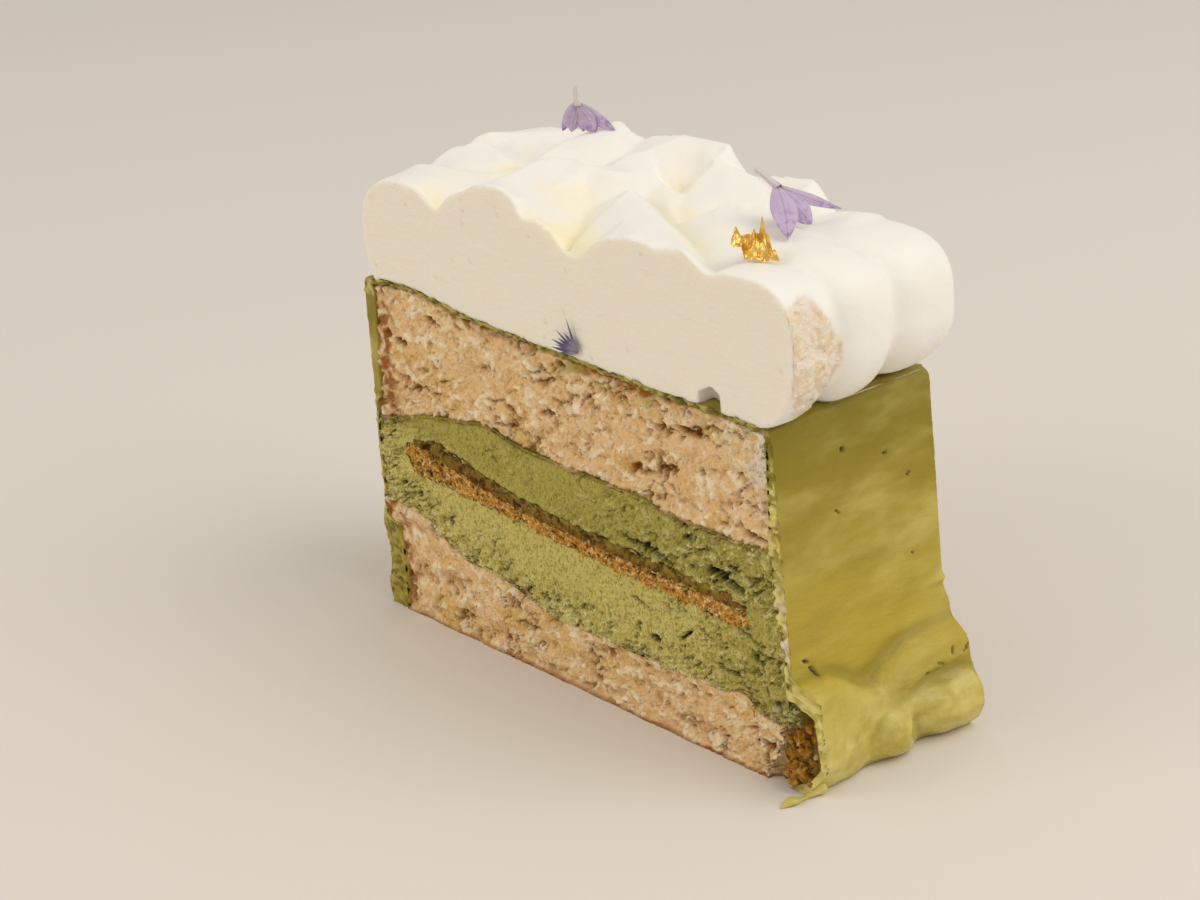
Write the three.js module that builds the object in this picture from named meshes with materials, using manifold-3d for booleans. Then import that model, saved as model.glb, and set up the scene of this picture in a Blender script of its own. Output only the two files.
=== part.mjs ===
// Slice of a layered matcha dacquoise cake, in millimetres, +Z up.
//
// The slice is cut straight across a long coated cake. Its two cut faces are the planes y = -depth/2 (front)
// and y = +depth/2 (back), and its coated ends face -X and +X. From the base up it holds the bottom sponge,
// the matcha cream with a thin crunch layer inside it, the top sponge, a coat of green cream that runs over
// the top and down both ends to a folded foot, and mounds of whipped cream with flower petals and gold leaf.
// Everything is laid out about the middle of the slice's footprint, and the last lines move the whole group
// so that its origin is the bottom centre of its bounding box.

import * as THREE from 'three';
import { mergeVertices } from 'three/addons/utils/BufferGeometryUtils.js';
import Module from 'manifold-3d';

const wasm = await Module();
wasm.setup();

// ---- driving dimensions ---------------------------------------------------------------------------------

const LENGTH = 106.7; // coated end to coated end, at the top edge
const DEPTH = 37.8; // thickness of the slice, cut face to cut face
const HEIGHT = 65.2; // base to the top of the coat, at mid length
const GAP = 0.3; // clearance between neighbouring layers
const END_GAP = 0.5; // clearance between the layers' ends and the curved coat
const FLARE = 4.1; // how much further out the right end's coat stands at the base than at the top
const COVER = 1.2; // coat on top of the upper sponge
const STRIP = { left: -45, right: 46.5, filmLeft: -42.5 }; // ends of the crunch layer and of its film
const NOSE = 0.16; // how far the crunch layer's rounded ends fall back, in mm for each square mm of height
const FOOT_WAIST = 12; // height of the foot's fold line where it dips lowest
const STATION = 5; // spacing of the points along a layer's faces, shared so that neighbours stay parallel
const CREAM_CORE_TOP = 80.5; // whipped cream is solid up to here, and the mounds stand above it

const FRONT = -DEPTH / 2;
const BACK = DEPTH / 2;
const LEFT = -LENGTH / 2;
const RIGHT = LENGTH / 2;

const COLOUR = {
  sponge: 0xd9bb93,
  matcha: 0xa3a361,
  coat: 0x9c9a42,
  crunch: 0xa8712f,
  film: 0x7a5424,
  whipped: 0xf6efe2,
  petal: 0x9d8bb8,
  darkPetal: 0x5c5584,
  gold: 0xe0b24a,
};

// ---- small curve helpers --------------------------------------------------------------------------------

/** Smooth step: 0 at `from`, 1 at `to`, in either direction. */
function ramp(value, from, to) {
  const t = THREE.MathUtils.clamp((value - from) / (to - from), 0, 1);
  return t * t * (3 - 2 * t);
}

/** Bell of height 1 at `centre`, about 2 * `width` wide. */
function bump(value, centre, width) {
  return Math.exp(-(((value - centre) / width) ** 2));
}

/** `count` evenly spaced values from `from` to `to`, both ends included. */
function spread(from, to, count) {
  return Array.from({ length: count }, (_, i) => from + ((to - from) * i) / (count - 1));
}

// ---- where one layer ends and the next begins -----------------------------------------------------------

/** Slow rise and fall of a layer through the slice's depth. */
function sway(x, y, size) {
  return size * Math.sin(y / 8 + x / 23);
}

function bottomSpongeTop(x, y) {
  const leftRise = 2.9 * ramp(x, -4, -20) + 6.1 * ramp(x, -27, -41);
  const rightEnd = 1.3 * bump(x, 44, 3) - 1.8 * ramp(x, 45, 51);
  return 13.2 + leftRise + rightEnd + sway(x, y, 0.5);
}

function topSpongeBottom(x, y) {
  return 43.6 - 4.8 * ramp(x, -30, -52) + 1.8 * bump(x, -21, 6) - 2.1 * ramp(x, 5, 50) + sway(x, y, 0.4);
}

function coverTop(x, y) {
  return HEIGHT - 0.03 * x + 1.3 * bump(x, -38, 10) + sway(x, y, 0.2);
}

function crunchBottom(x, y) {
  return 28.4 - 0.045 * x + 2 * ramp(x, -36, -46) + sway(x, y, 0.4);
}

function crunchTop(x, y) {
  return 31 - 0.03 * x + 3.5 * ramp(x, -8, -40) + sway(x, y, 0.4);
}

function filmTop(x, y) {
  return crunchTop(x, y) + 2 + 0.9 * ramp(x, 5, -30);
}

/** Inside of the coat on the left end. */
function leftInside(z) {
  return LEFT + 2.1 + 2.2 * ramp(z, 42, 63) + 2.4 * ramp(z, 21, 12);
}

/** Outside of the coat on the left end, with its own small ragged foot. */
function leftOutside(z, y) {
  const rim = 2.6 * bump(z, 17.5, 3.2) + 2.3 * bump(z, 3.5, 3.5);
  const ragged = 0.6 + 0.4 * Math.sin(y / 3.1);
  return LEFT - 0.6 * bump(z, 30, 9) - rim * ragged;
}

/** Where the layers end under the coat on the right end. */
function rightBacking(z) {
  return RIGHT - 1.15 + 2.8 * ramp(z, 42, 18);
}

/** Inside of the coat on the right end. Near the front it swings out round a pocket behind the foot. */
function rightInside(z, y) {
  return rightBacking(z) + 3.2 * ramp(y, -10.5, FRONT + 1.5) * ramp(z, 16, 12) * ramp(z, 0, 3.5);
}

/** Height of the fold line, below which the coat on the right end rolls out into its foot. */
function foldLine(y) {
  return FOOT_WAIST + 5.3 * (1 - bump(y, 0, 5)) + 6 * ramp(y, 9, 19);
}

/** Outside of the coat on the right end, with the folded foot. */
function rightOutside(z, y) {
  const wall = RIGHT + FLARE * (1 - z / HEIGHT);
  const fold = foldLine(y);
  const down = THREE.MathUtils.clamp(1 - z / fold, 0, 1);
  const reach = 2.6 - bump(y, -3, 3) + 2.2 * bump(y, 3, 2.5) + 4.6 * ramp(y, 8, 18);
  const roll = 0.55 * ramp(down, 0, 0.2) + 0.45 * down;
  const tuck = 1.6 * ramp(z, 2.4, 0);
  const crease = 1.1 * bump(z, 7 + 4.6 * ramp(y, -5, 2), 1.3) * ramp(y, -6, 0);
  return wall + reach * roll - tuck - crease;
}

// ---- closed solids lofted through the depth of the slice ------------------------------------------------

/** Closed solid through rings of equal length, each anticlockwise seen from the front, front ring first. */
function loft(rings) {
  const count = rings[0].length;
  const positions = rings.flatMap((ring) => ring.flatMap((point) => [point.x, point.y, point.z]));
  const index = [];
  for (let ring = 0; ring + 1 < rings.length; ring += 1) {
    for (let i = 0; i < count; i += 1) {
      const next = (i + 1) % count;
      const [a, b] = [ring * count + i, ring * count + next];
      index.push(a, a + count, b + count, a, b + count, b);
    }
  }
  for (const [ring, flip] of [[0, false], [rings.length - 1, true]]) {
    const outline = rings[ring].map((point) => new THREE.Vector2(point.x, point.z));
    for (const face of THREE.ShapeUtils.triangulateShape(outline, [])) {
      const [a, b, c] = face.map((i) => outline[i]);
      const clockwise = (b.x - a.x) * (c.y - a.y) - (b.y - a.y) * (c.x - a.x) < 0;
      const corners = clockwise === flip ? face : [face[0], face[2], face[1]];
      index.push(...corners.map((i) => ring * count + i));
    }
  }
  const geometry = new THREE.BufferGeometry();
  geometry.setAttribute('position', new THREE.Float32BufferAttribute(positions, 3));
  geometry.setIndex(index);
  return geometry;
}

/** Ring of a layer at depth y: along its lower face, up its right end, back over it and down the left. */
function layerRing(y, { lower, upper, left, right, inner = [-44, 46], up = 5 }) {
  const cornerX = (end, face) => end(face(end(30, y), y), y);
  const stations = spread(...inner, (inner[1] - inner[0]) / STATION + 1);
  const bottomXs = [cornerX(left, lower), ...stations, cornerX(right, lower)];
  const topXs = [cornerX(right, upper), ...stations.toReversed(), cornerX(left, upper)];
  const ring = bottomXs.map((x) => new THREE.Vector3(x, y, lower(x, y)));
  for (const z of spread(lower(bottomXs.at(-1), y), upper(topXs[0], y), up).slice(1, -1)) {
    ring.push(new THREE.Vector3(right(z, y), y, z));
  }
  ring.push(...topXs.map((x) => new THREE.Vector3(x, y, upper(x, y))));
  for (const z of spread(upper(topXs.at(-1), y), lower(bottomXs[0], y), up).slice(1, -1)) {
    ring.push(new THREE.Vector3(left(z, y), y, z));
  }
  return ring;
}

function layer(description, stations = 5) {
  return loft(spread(FRONT, BACK, stations).map((y) => layerRing(y, description)));
}

// ---- booleans -------------------------------------------------------------------------------------------

function toSolid(geometry) {
  const bare = geometry.clone();
  bare.deleteAttribute('normal');
  bare.deleteAttribute('uv');
  const merged = mergeVertices(bare, 1e-4);
  const vertProperties = new Float32Array(merged.attributes.position.array);
  const triVerts = new Uint32Array(merged.index.array);
  return new wasm.Manifold(new wasm.Mesh({ numProp: 3, vertProperties, triVerts }));
}

function toGeometry(solid) {
  const mesh = solid.getMesh();
  const geometry = new THREE.BufferGeometry();
  geometry.setAttribute('position', new THREE.Float32BufferAttribute(mesh.vertProperties, 3));
  geometry.setIndex(Array.from(mesh.triVerts));
  return geometry;
}

/** Box between two corners. */
function block(low, high) {
  const size = high.map((value, i) => value - low[i]);
  const middle = high.map((value, i) => (value + low[i]) / 2);
  return new THREE.BoxGeometry(...size).translate(...middle);
}

// ---- sponges, matcha cream and crunch layer -------------------------------------------------------------

function bottomSponge() {
  return layer({
    lower: () => 0,
    upper: (x, y) => bottomSpongeTop(x, y) - GAP / 2,
    left: (z) => leftInside(z) + END_GAP,
    right: (z, y) => rightBacking(z) - END_GAP - 2.6 * ramp(y, -9, FRONT + 2),
    up: 7,
  });
}

function topSponge() {
  return layer({
    lower: (x, y) => topSpongeBottom(x, y) + GAP / 2,
    upper: (x, y) => coverTop(x, y) - COVER - GAP / 2,
    left: (z) => leftInside(z) + END_GAP,
    right: (z) => rightBacking(z) - END_GAP,
  });
}

/** The crunch layer or its film, with rounded ends, grown all round by `grow`. */
function stripLayer(lower, upper, left, right, grow = 0) {
  const nose = (z, x, y) => NOSE * (z - (lower(x, y) + upper(x, y)) / 2) ** 2;
  return layer({
    lower: (x, y) => lower(x, y) - grow,
    upper: (x, y) => upper(x, y) + grow,
    left: (z, y) => left - grow + nose(z, left, y),
    right: (z, y) => right + grow - nose(z, right, y),
    inner: [-40, 45],
  });
}

/** Matcha cream, with a slot right through it that holds the crunch layer and its film. */
function matchaCream() {
  const body = toSolid(
    layer({
      lower: (x, y) => bottomSpongeTop(x, y) + GAP / 2,
      upper: (x, y) => topSpongeBottom(x, y) - GAP / 2,
      left: (z) => leftInside(z) + END_GAP,
      right: (z) => rightBacking(z) - END_GAP,
      up: 7,
    }),
  );
  const crunchSlot = stripLayer(crunchBottom, crunchTop, STRIP.left, STRIP.right, GAP).scale(1, 1.1, 1);
  const filmSlot = stripLayer(crunchTop, filmTop, STRIP.filmLeft, STRIP.right, GAP).scale(1, 1.1, 1);
  return toGeometry(body.subtract(toSolid(crunchSlot)).subtract(toSolid(filmSlot)));
}

// ---- green coat -----------------------------------------------------------------------------------------

/** Ring of the coat at depth y: up inside the left end, under the cover, down the right, back outside. */
function coatRing(y) {
  const innerTop = (x) => coverTop(x, y) - COVER + GAP / 2;
  const ring = [];
  const add = (x, z) => ring.push(new THREE.Vector3(x, y, z));
  const [innerLeft, innerRight] = [leftInside(HEIGHT), rightInside(HEIGHT, y)];
  for (const z of spread(0, innerTop(innerLeft), 12)) add(leftInside(z), z);
  for (const x of spread(innerLeft, innerRight, 10).slice(1, -1)) add(x, innerTop(x));
  for (const z of [...spread(innerTop(innerRight), 22, 5), ...spread(16, 0, 6)]) add(rightInside(z, y), z);
  for (const z of [...spread(0, 24, 14), ...spread(30, 60, 4)]) add(rightOutside(z, y), z);
  for (const x of spread(RIGHT - 0.4, LEFT + 0.4, 10)) add(x, coverTop(x, y));
  for (const z of [...spread(60, 30, 3), ...spread(24, 0, 9)]) add(leftOutside(z, y), z);
  return ring;
}

/** Pulled-out tail of coat that lies on the surface in front of the foot: a flattened, tapering drop. */
function footTail() {
  const path = new THREE.QuadraticBezierCurve3(
    new THREE.Vector3(RIGHT + 5.2, FRONT + 3, 1),
    new THREE.Vector3(RIGHT + 5.9, FRONT - 2, 1),
    new THREE.Vector3(RIGHT + 4, FRONT - 5.4, 0.9),
  );
  const sides = 8;
  const rings = spread(0, 1, 6).map((t) => {
    const centre = path.getPoint(t);
    const halfWidth = 1.9 - 1.2 * Math.sin(Math.PI * Math.min(t * 1.4, 1)) ** 2 * (1 - t) - 1.2 * t ** 4;
    const halfHeight = Math.min(centre.z, 0.9) * (1 - 0.5 * t ** 3);
    return Array.from({ length: sides }, (_, i) => {
      const angle = (2 * Math.PI * i) / sides;
      const height = centre.z + halfHeight * Math.sin(angle);
      return new THREE.Vector3(centre.x + halfWidth * Math.cos(angle), centre.y, height);
    });
  });
  return loft(rings.reverse());
}

function coat() {
  const stations = [...spread(FRONT, -8, 5), ...spread(-5.5, BACK, 8)];
  return toGeometry(toSolid(loft(stations.map(coatRing))).add(toSolid(footTail())));
}

// ---- whipped cream --------------------------------------------------------------------------------------

const DOWNHILL = -38; // direction, in degrees about Z, in which most mounds slope down
const UPPER_ROUNDING = 2.7; // a mound's top half is fuller than an ellipsoid
const LOWER_ROUNDING = 2.1;

// Each mound: middle, half length along its heading, half width, half height, heading and tilt in degrees.
const MOUNDS = [
  { at: [-40.5, -15, 75.5], half: [13.5, 11.3, 12], heading: 90, tilt: -4 },
  { at: [-37.5, 3, 75.5], half: [14.5, 12, 15.6], heading: DOWNHILL, tilt: 8 },
  { at: [-39, 17, 75.5], half: [13.2, 9, 12.6], heading: 0, tilt: 0 },
  { at: [-10, -10, 76.5], half: [20, 18, 15.6], heading: DOWNHILL, tilt: 13 },
  { at: [-1, -18, 73], half: [10, 9, 13.2], heading: DOWNHILL, tilt: 12 },
  { at: [0, 2, 75], half: [14, 12, 14.8], heading: DOWNHILL, tilt: 8 },
  { at: [20.5, -13, 75], half: [25, 11.5, 15.4], heading: DOWNHILL, tilt: 3 },
  { at: [33, -19, 75], half: [12, 10, 14.6], heading: DOWNHILL, tilt: 8 },
  { at: [-17, 15, 76], half: [17, 15, 18.3], heading: DOWNHILL, tilt: 8 },
  { at: [5, 12, 76.5], half: [19, 14, 17], heading: DOWNHILL, tilt: 10 },
  { at: [1, 22, 76], half: [12, 8, 18.5], heading: 0, tilt: 0 },
  { at: [22, 7, 75], half: [17, 12, 16], heading: DOWNHILL, tilt: 9 },
  { at: [22, 20, 75], half: [12, 9, 16.3], heading: 0, tilt: 0 },
  { at: [42, -7, 75.5], half: [20, 12, 14.4], heading: DOWNHILL, tilt: 5 },
  { at: [49, -16, 75.5], half: [11, 10, 12.8], heading: 0, tilt: 0 },
  { at: [47, 0, 75.5], half: [13, 9, 12.8], heading: 0, tilt: 3 },
  { at: [46, 13.5, 75.8], half: [14.5, 12.5, 12.4], heading: 0, tilt: 0 },
];

/** One dabbed mound of cream: a pillow-shaped ball, turned to its heading and tilted down that way. */
function mound({ at, half, heading, tilt }) {
  const geometry = new THREE.SphereGeometry(1, 18, 10).rotateX(Math.PI / 2);
  const points = geometry.attributes.position;
  for (let i = 0; i < points.count; i += 1) {
    const [x, y, z] = [points.getX(i), points.getY(i), points.getZ(i)];
    const across = Math.hypot(x, y);
    const power = 2 / (z > 0 ? UPPER_ROUNDING : LOWER_ROUNDING);
    const fuller = across > 1e-6 ? across ** power / across : 0;
    points.setXYZ(i, x * fuller, y * fuller, Math.sign(z) * Math.abs(z) ** power);
  }
  geometry.scale(...half);
  geometry.rotateY(THREE.MathUtils.degToRad(tilt));
  geometry.rotateZ(THREE.MathUtils.degToRad(heading));
  return geometry.translate(...at);
}

/** Space the cream may fill: between the two cut faces and above the coat. */
function creamSpace() {
  return layer({
    lower: (x, y) => coverTop(x, y) + GAP,
    upper: () => 110,
    left: () => -70,
    right: () => 70,
    up: 3,
  });
}

/** Three-cornered hollow left between the cream and the coat at the front cut. */
function creamHollow() {
  const outline = new THREE.Shape([
    new THREE.Vector2(37.2, 60),
    new THREE.Vector2(42.2, 60),
    new THREE.Vector2(42, 65),
    new THREE.Vector2(40.3, 67.9),
    new THREE.Vector2(37.3, 66.3),
  ]);
  const depth = 4;
  const hollow = new THREE.ExtrudeGeometry(outline, { depth, bevelEnabled: false });
  return hollow.rotateX(Math.PI / 2).translate(0, FRONT + depth - 0.5, 0);
}

function whippedCream() {
  const core = block([LEFT + 6, FRONT, HEIGHT - 5], [RIGHT - 2, BACK, CREAM_CORE_TOP]);
  const heap = MOUNDS.reduce((sum, description) => sum.add(toSolid(mound(description))), toSolid(core));
  return heap.intersect(toSolid(creamSpace())).subtract(toSolid(creamHollow()));
}

// ---- petals and gold leaf -------------------------------------------------------------------------------

/**
 * Flower floret: a thin tube that opens into pointed lobes, as one closed solid.
 * It is built with its tube along +Z from the origin, and its lobes spread beyond `tube`.
 */
function floret({ tube, lobe, radius, lobes, spreadAngle, turn = 0 }) {
  const wall = 0.5;
  const stem = new THREE.CylinderGeometry(radius, 0.45, tube, 6).rotateX(Math.PI / 2);
  let solid = toSolid(stem.translate(0, 0, tube / 2));
  for (let i = 0; i < lobes; i += 1) {
    const blade = new THREE.SphereGeometry(1, 6, 5);
    const points = blade.attributes.position;
    for (let k = 0; k < points.count; k += 1) {
      const y = points.getY(k);
      const narrow = 1 - 0.55 * ramp(y, 0, 1);
      points.setXYZ(k, points.getX(k) * narrow, y, points.getZ(k) + 0.5 * y * y);
    }
    blade.scale(radius * 0.9, lobe / 2, wall);
    blade.translate(0, lobe / 2 - 0.6, 0);
    blade.rotateX(Math.PI / 2 - THREE.MathUtils.degToRad(spreadAngle));
    blade.rotateZ(turn + (2 * Math.PI * i) / lobes);
    blade.translate(0, 0, tube - 0.4);
    solid = solid.add(toSolid(blade));
  }
  return toGeometry(solid);
}

/** Moves a piece built along +Z so that it starts at `from` and points to `to`. */
function aim(geometry, from, to) {
  const direction = new THREE.Vector3(...to).sub(new THREE.Vector3(...from)).normalize();
  const turn = new THREE.Quaternion().setFromUnitVectors(new THREE.Vector3(0, 0, 1), direction);
  return geometry.applyQuaternion(turn).translate(...from);
}

/** Crumpled flake of gold leaf: a thin wavy star with uneven arms. */
function goldLeaf(reach, thickness) {
  const arms = 20;
  const rim = (i) => {
    const angle = (2 * Math.PI * i) / arms;
    const radius = reach * (0.62 + 0.28 * Math.sin(3 * angle + 0.6) + 0.16 * Math.sin(7 * angle));
    return [radius * Math.cos(angle), radius * Math.sin(angle)];
  };
  const fold = (x, y) => 0.55 * Math.sin(1.5 * x + 0.7 * y) + 0.35 * Math.cos(2 * y);
  const positions = [];
  for (const side of [0, thickness]) {
    positions.push(0, 0, fold(0, 0) + side);
    for (let i = 0; i < arms; i += 1) {
      const [x, y] = rim(i);
      positions.push(x, y, fold(x, y) + side);
    }
  }
  const index = [];
  const top = arms + 1;
  for (let i = 1; i <= arms; i += 1) {
    const next = (i % arms) + 1;
    index.push(0, next, i, top, top + i, top + next, i, next, top + next, i, top + next, top + i);
  }
  const geometry = new THREE.BufferGeometry();
  geometry.setAttribute('position', new THREE.Float32BufferAttribute(positions, 3));
  geometry.setIndex(index);
  return geometry;
}

/** Lowers a piece until it just clears the solid below it. */
function settle(geometry, support) {
  const rayStart = 130;
  const ray = new THREE.Raycaster();
  const down = new THREE.Vector3(0, 0, -1);
  const points = geometry.attributes.position;
  let drop = Infinity;
  for (let i = 0; i < points.count; i += 1) {
    ray.set(new THREE.Vector3(points.getX(i), points.getY(i), rayStart), down);
    const [hit] = ray.intersectObject(support);
    if (hit) drop = Math.min(drop, points.getZ(i) - hit.point.z);
  }
  return geometry.translate(0, 0, GAP - drop);
}

// ---- the slice ------------------------------------------------------------------------------------------

const slice = new THREE.Group();

function addPiece(name, geometry, color, roughness) {
  const metalness = name === 'gold_leaf' ? 1 : 0;
  const material = new THREE.MeshStandardMaterial({ color, roughness, metalness });
  const mesh = new THREE.Mesh(geometry, material);
  mesh.name = name;
  slice.add(mesh);
  return mesh;
}

addPiece('sponge_bottom', bottomSponge(), COLOUR.sponge, 0.9);
addPiece('matcha_cream', matchaCream(), COLOUR.matcha, 0.8);
addPiece(
  'crunch_layer',
  stripLayer(crunchBottom, (x, y) => crunchTop(x, y) - GAP / 2, STRIP.left, STRIP.right),
  COLOUR.crunch,
  0.7,
);
addPiece(
  'crunch_film',
  stripLayer((x, y) => crunchTop(x, y) + GAP / 2, filmTop, STRIP.filmLeft, STRIP.right),
  COLOUR.film,
  0.5,
);
addPiece('sponge_top', topSponge(), COLOUR.sponge, 0.9);
addPiece('matcha_coat', coat(), COLOUR.coat, 0.45);

const cream = addPiece('whipped_cream', toGeometry(whippedCream()), COLOUR.whipped, 0.5);
cream.updateMatrixWorld();

const backFloret = floret({ tube: 4.6, lobe: 5.6, radius: 1.5, lobes: 5, spreadAngle: 34 });
addPiece('petal_back', settle(aim(backFloret, [-20.5, 14, 104], [-19, 15.5, 94]), cream), COLOUR.petal, 0.6);

const rightFloret = floret({ tube: 5, lobe: 11, radius: 1.7, lobes: 4, spreadAngle: 22, turn: 0.6 });
addPiece('petal_right', settle(aim(rightFloret, [17, 14, 98], [33, 4, 95.5]), cream), COLOUR.petal, 0.6);

const frontFloret = floret({ tube: 1.6, lobe: 4.2, radius: 0.9, lobes: 5, spreadAngle: 26 });
const frontStart = [6.4, FRONT - 1.9, 65.6];
addPiece('petal_front', aim(frontFloret, frontStart, [5, FRONT - 2.2, 70]), COLOUR.darkPetal, 0.6);

const leaf = goldLeaf(3.4, 0.5).rotateX(-0.25).rotateY(0.2).translate(37, -8, 100);
addPiece('gold_leaf', settle(leaf, cream), COLOUR.gold, 0.3);

const bounds = new THREE.Box3().setFromObject(slice);
const middle = bounds.getCenter(new THREE.Vector3());
slice.position.set(-middle.x, -middle.y, -bounds.min.z);

export default slice;
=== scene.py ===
"""Looks of a slice of layered matcha cake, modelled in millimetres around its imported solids.

Every piece is worked out in the slice's own layout: X runs along the slice towards its folded foot, the cut
faces are the planes y = -depth/2 (front) and y = +depth/2 (back), and z is 0 on the surface it stands on.
SliceForm holds that layout and turns it into the frame's metres.
"""

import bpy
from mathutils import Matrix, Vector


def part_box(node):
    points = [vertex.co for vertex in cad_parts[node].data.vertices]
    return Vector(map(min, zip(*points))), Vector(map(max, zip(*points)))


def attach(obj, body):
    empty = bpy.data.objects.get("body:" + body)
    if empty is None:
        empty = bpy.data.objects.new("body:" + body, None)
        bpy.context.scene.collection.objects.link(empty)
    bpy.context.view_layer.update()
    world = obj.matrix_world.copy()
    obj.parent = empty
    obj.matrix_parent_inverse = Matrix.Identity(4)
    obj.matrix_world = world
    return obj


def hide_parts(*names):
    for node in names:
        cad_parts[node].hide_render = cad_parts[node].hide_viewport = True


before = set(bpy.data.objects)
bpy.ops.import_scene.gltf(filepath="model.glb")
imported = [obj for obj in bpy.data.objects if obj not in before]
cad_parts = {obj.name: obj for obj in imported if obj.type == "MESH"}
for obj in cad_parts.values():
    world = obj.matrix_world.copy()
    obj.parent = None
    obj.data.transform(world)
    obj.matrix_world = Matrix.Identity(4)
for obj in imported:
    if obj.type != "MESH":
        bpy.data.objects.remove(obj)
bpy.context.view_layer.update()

import logging
import math
from dataclasses import dataclass, field
from enum import IntEnum
from itertools import product
from typing import Callable, Sequence

import bpy
import numpy as np
from mathutils import Matrix, Vector
from mathutils.geometry import delaunay_2d_cdt

LOG = logging.getLogger("slice")
MM = 0.001
Array = np.ndarray
Surface = Callable[[Array, Array], Array]
Triple = tuple[float, float, float]
Piece = bpy.types.Object
Socket = bpy.types.NodeSocket


# ---- curves and noise ----


def ramp(value: Array, start: float, end: float) -> Array:
    """Smooth step: 0 at start, 1 at end, in either direction."""
    t = np.clip((value - start) / (end - start), 0.0, 1.0)
    return t * t * (3.0 - 2.0 * t)


def bump(value: Array, centre: float | Array, width: float) -> Array:
    """Bell of height 1 at centre, about twice width wide."""
    return np.exp(-(((value - centre) / width) ** 2))


def hashed(cells: Array, seed: int) -> Array:
    """Repeatable random number from 0 to 1 for each row of three whole numbers."""
    c = cells.astype(np.int64)
    n = (c[..., 0] * 73856093) ^ (c[..., 1] * 19349663) ^ (c[..., 2] * 83492791) ^ (seed * 40503 + 977)
    n = ((n & 0xFFFFFFFF) * 2654435761) & 0xFFFFFFFF
    n = ((n ^ (n >> 15)) * 2246822519) & 0xFFFFFFFF
    return ((n ^ (n >> 13)) & 0xFFFFFFFF) / 2.0**32


def noise(points: Array, size: float | Sequence[float], seed: int, octaves: int = 1) -> Array:
    """Smooth noise from about -1 to 1.

    Args:
        points: Rows of x, y, z in millimetres.
        size: Width of its waves in millimetres, the same each way or one for each axis.
        seed: Picks the pattern.
        octaves: Layers of it, each half as wide and half as high as the last.

    Returns:
        One value for each row.
    """
    total = np.zeros(len(points))
    for octave in range(octaves):
        p = points / np.asarray(size, float) * 2.0**octave + 0.37 * (seed % 97)
        base = np.floor(p)
        f = p - base
        f = f * f * (3.0 - 2.0 * f)
        value = np.zeros(len(points))
        for corner in product((0, 1), repeat=3):
            weight = np.prod(np.where(corner, f, 1.0 - f), axis=1)
            value += weight * (2.0 * hashed(base + corner, seed + octave) - 1.0)
        total += value * 0.5**octave
    return total / (2.0 - 0.5 ** (octaves - 1))


def three(draw: Callable[[int], Array]) -> Array:
    """Rows of the three numbers that draw gives for axes 0, 1 and 2."""
    return np.stack([draw(axis) for axis in range(3)], axis=1)


def crumbled(points: Array, size: float | Sequence[float], seed: int) -> tuple[Array, Array, Array]:
    """Packed crumbs, each of which stands out by its own amount and leans its own way.

    Args:
        points: Rows of x, y, z in millimetres.
        size: Mean width of a crumb in millimetres, the same each way or one for each axis.
        seed: Picks the pattern.

    Returns:
        How far the crumbs stand out, from about -1 to 1, a number from 0 to 1 that is the same all over one,
        and the distance to the nearest crumb's middle, in crumb widths.
    """
    p = points / np.asarray(size, float)
    base = np.floor(p)
    near, second = np.full(len(p), 9.0), np.full(len(p), 9.0)
    rise, tone = np.zeros(len(p)), np.zeros(len(p))
    for step in product((-1, 0, 1), repeat=3):
        cell = base + step
        away = cell + three(lambda axis: hashed(cell, seed + axis)) - p
        lean = three(lambda axis: hashed(cell, seed + 4 + axis)) - 0.5
        own = hashed(cell, seed + 3)
        distance = np.linalg.norm(away, axis=1)
        closer = distance < near
        second = np.where(closer, near, np.minimum(second, distance))
        rise = np.where(closer, 1.3 * (own - 0.5) + 1.5 * (away * lean).sum(axis=1), rise)
        tone = np.where(closer, own, tone)
        near = np.where(closer, distance, near)
    return rise - 0.4 * ramp(second - near, 0.16, 0.0), tone, near


def stepped(value: Array, levels: float) -> Array:
    """A value cut into levels steps for each unit, with steep risers, as torn crumb and cream have."""
    scaled = value * levels
    base = np.floor(scaled)
    return (base + ramp(scaled - base, 0.0, 0.35)) / levels


def turned(points: Array, degrees: float) -> Array:
    """Points turned about the Y axis, so that noise can follow a slant across a cut face."""
    angle = math.radians(degrees)
    x, y, z = points.T
    cos, sin = math.cos(angle), math.sin(angle)
    return np.stack([x * cos - z * sin, y, x * sin + z * cos], axis=1)


# ---- the slice's layout ----


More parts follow.
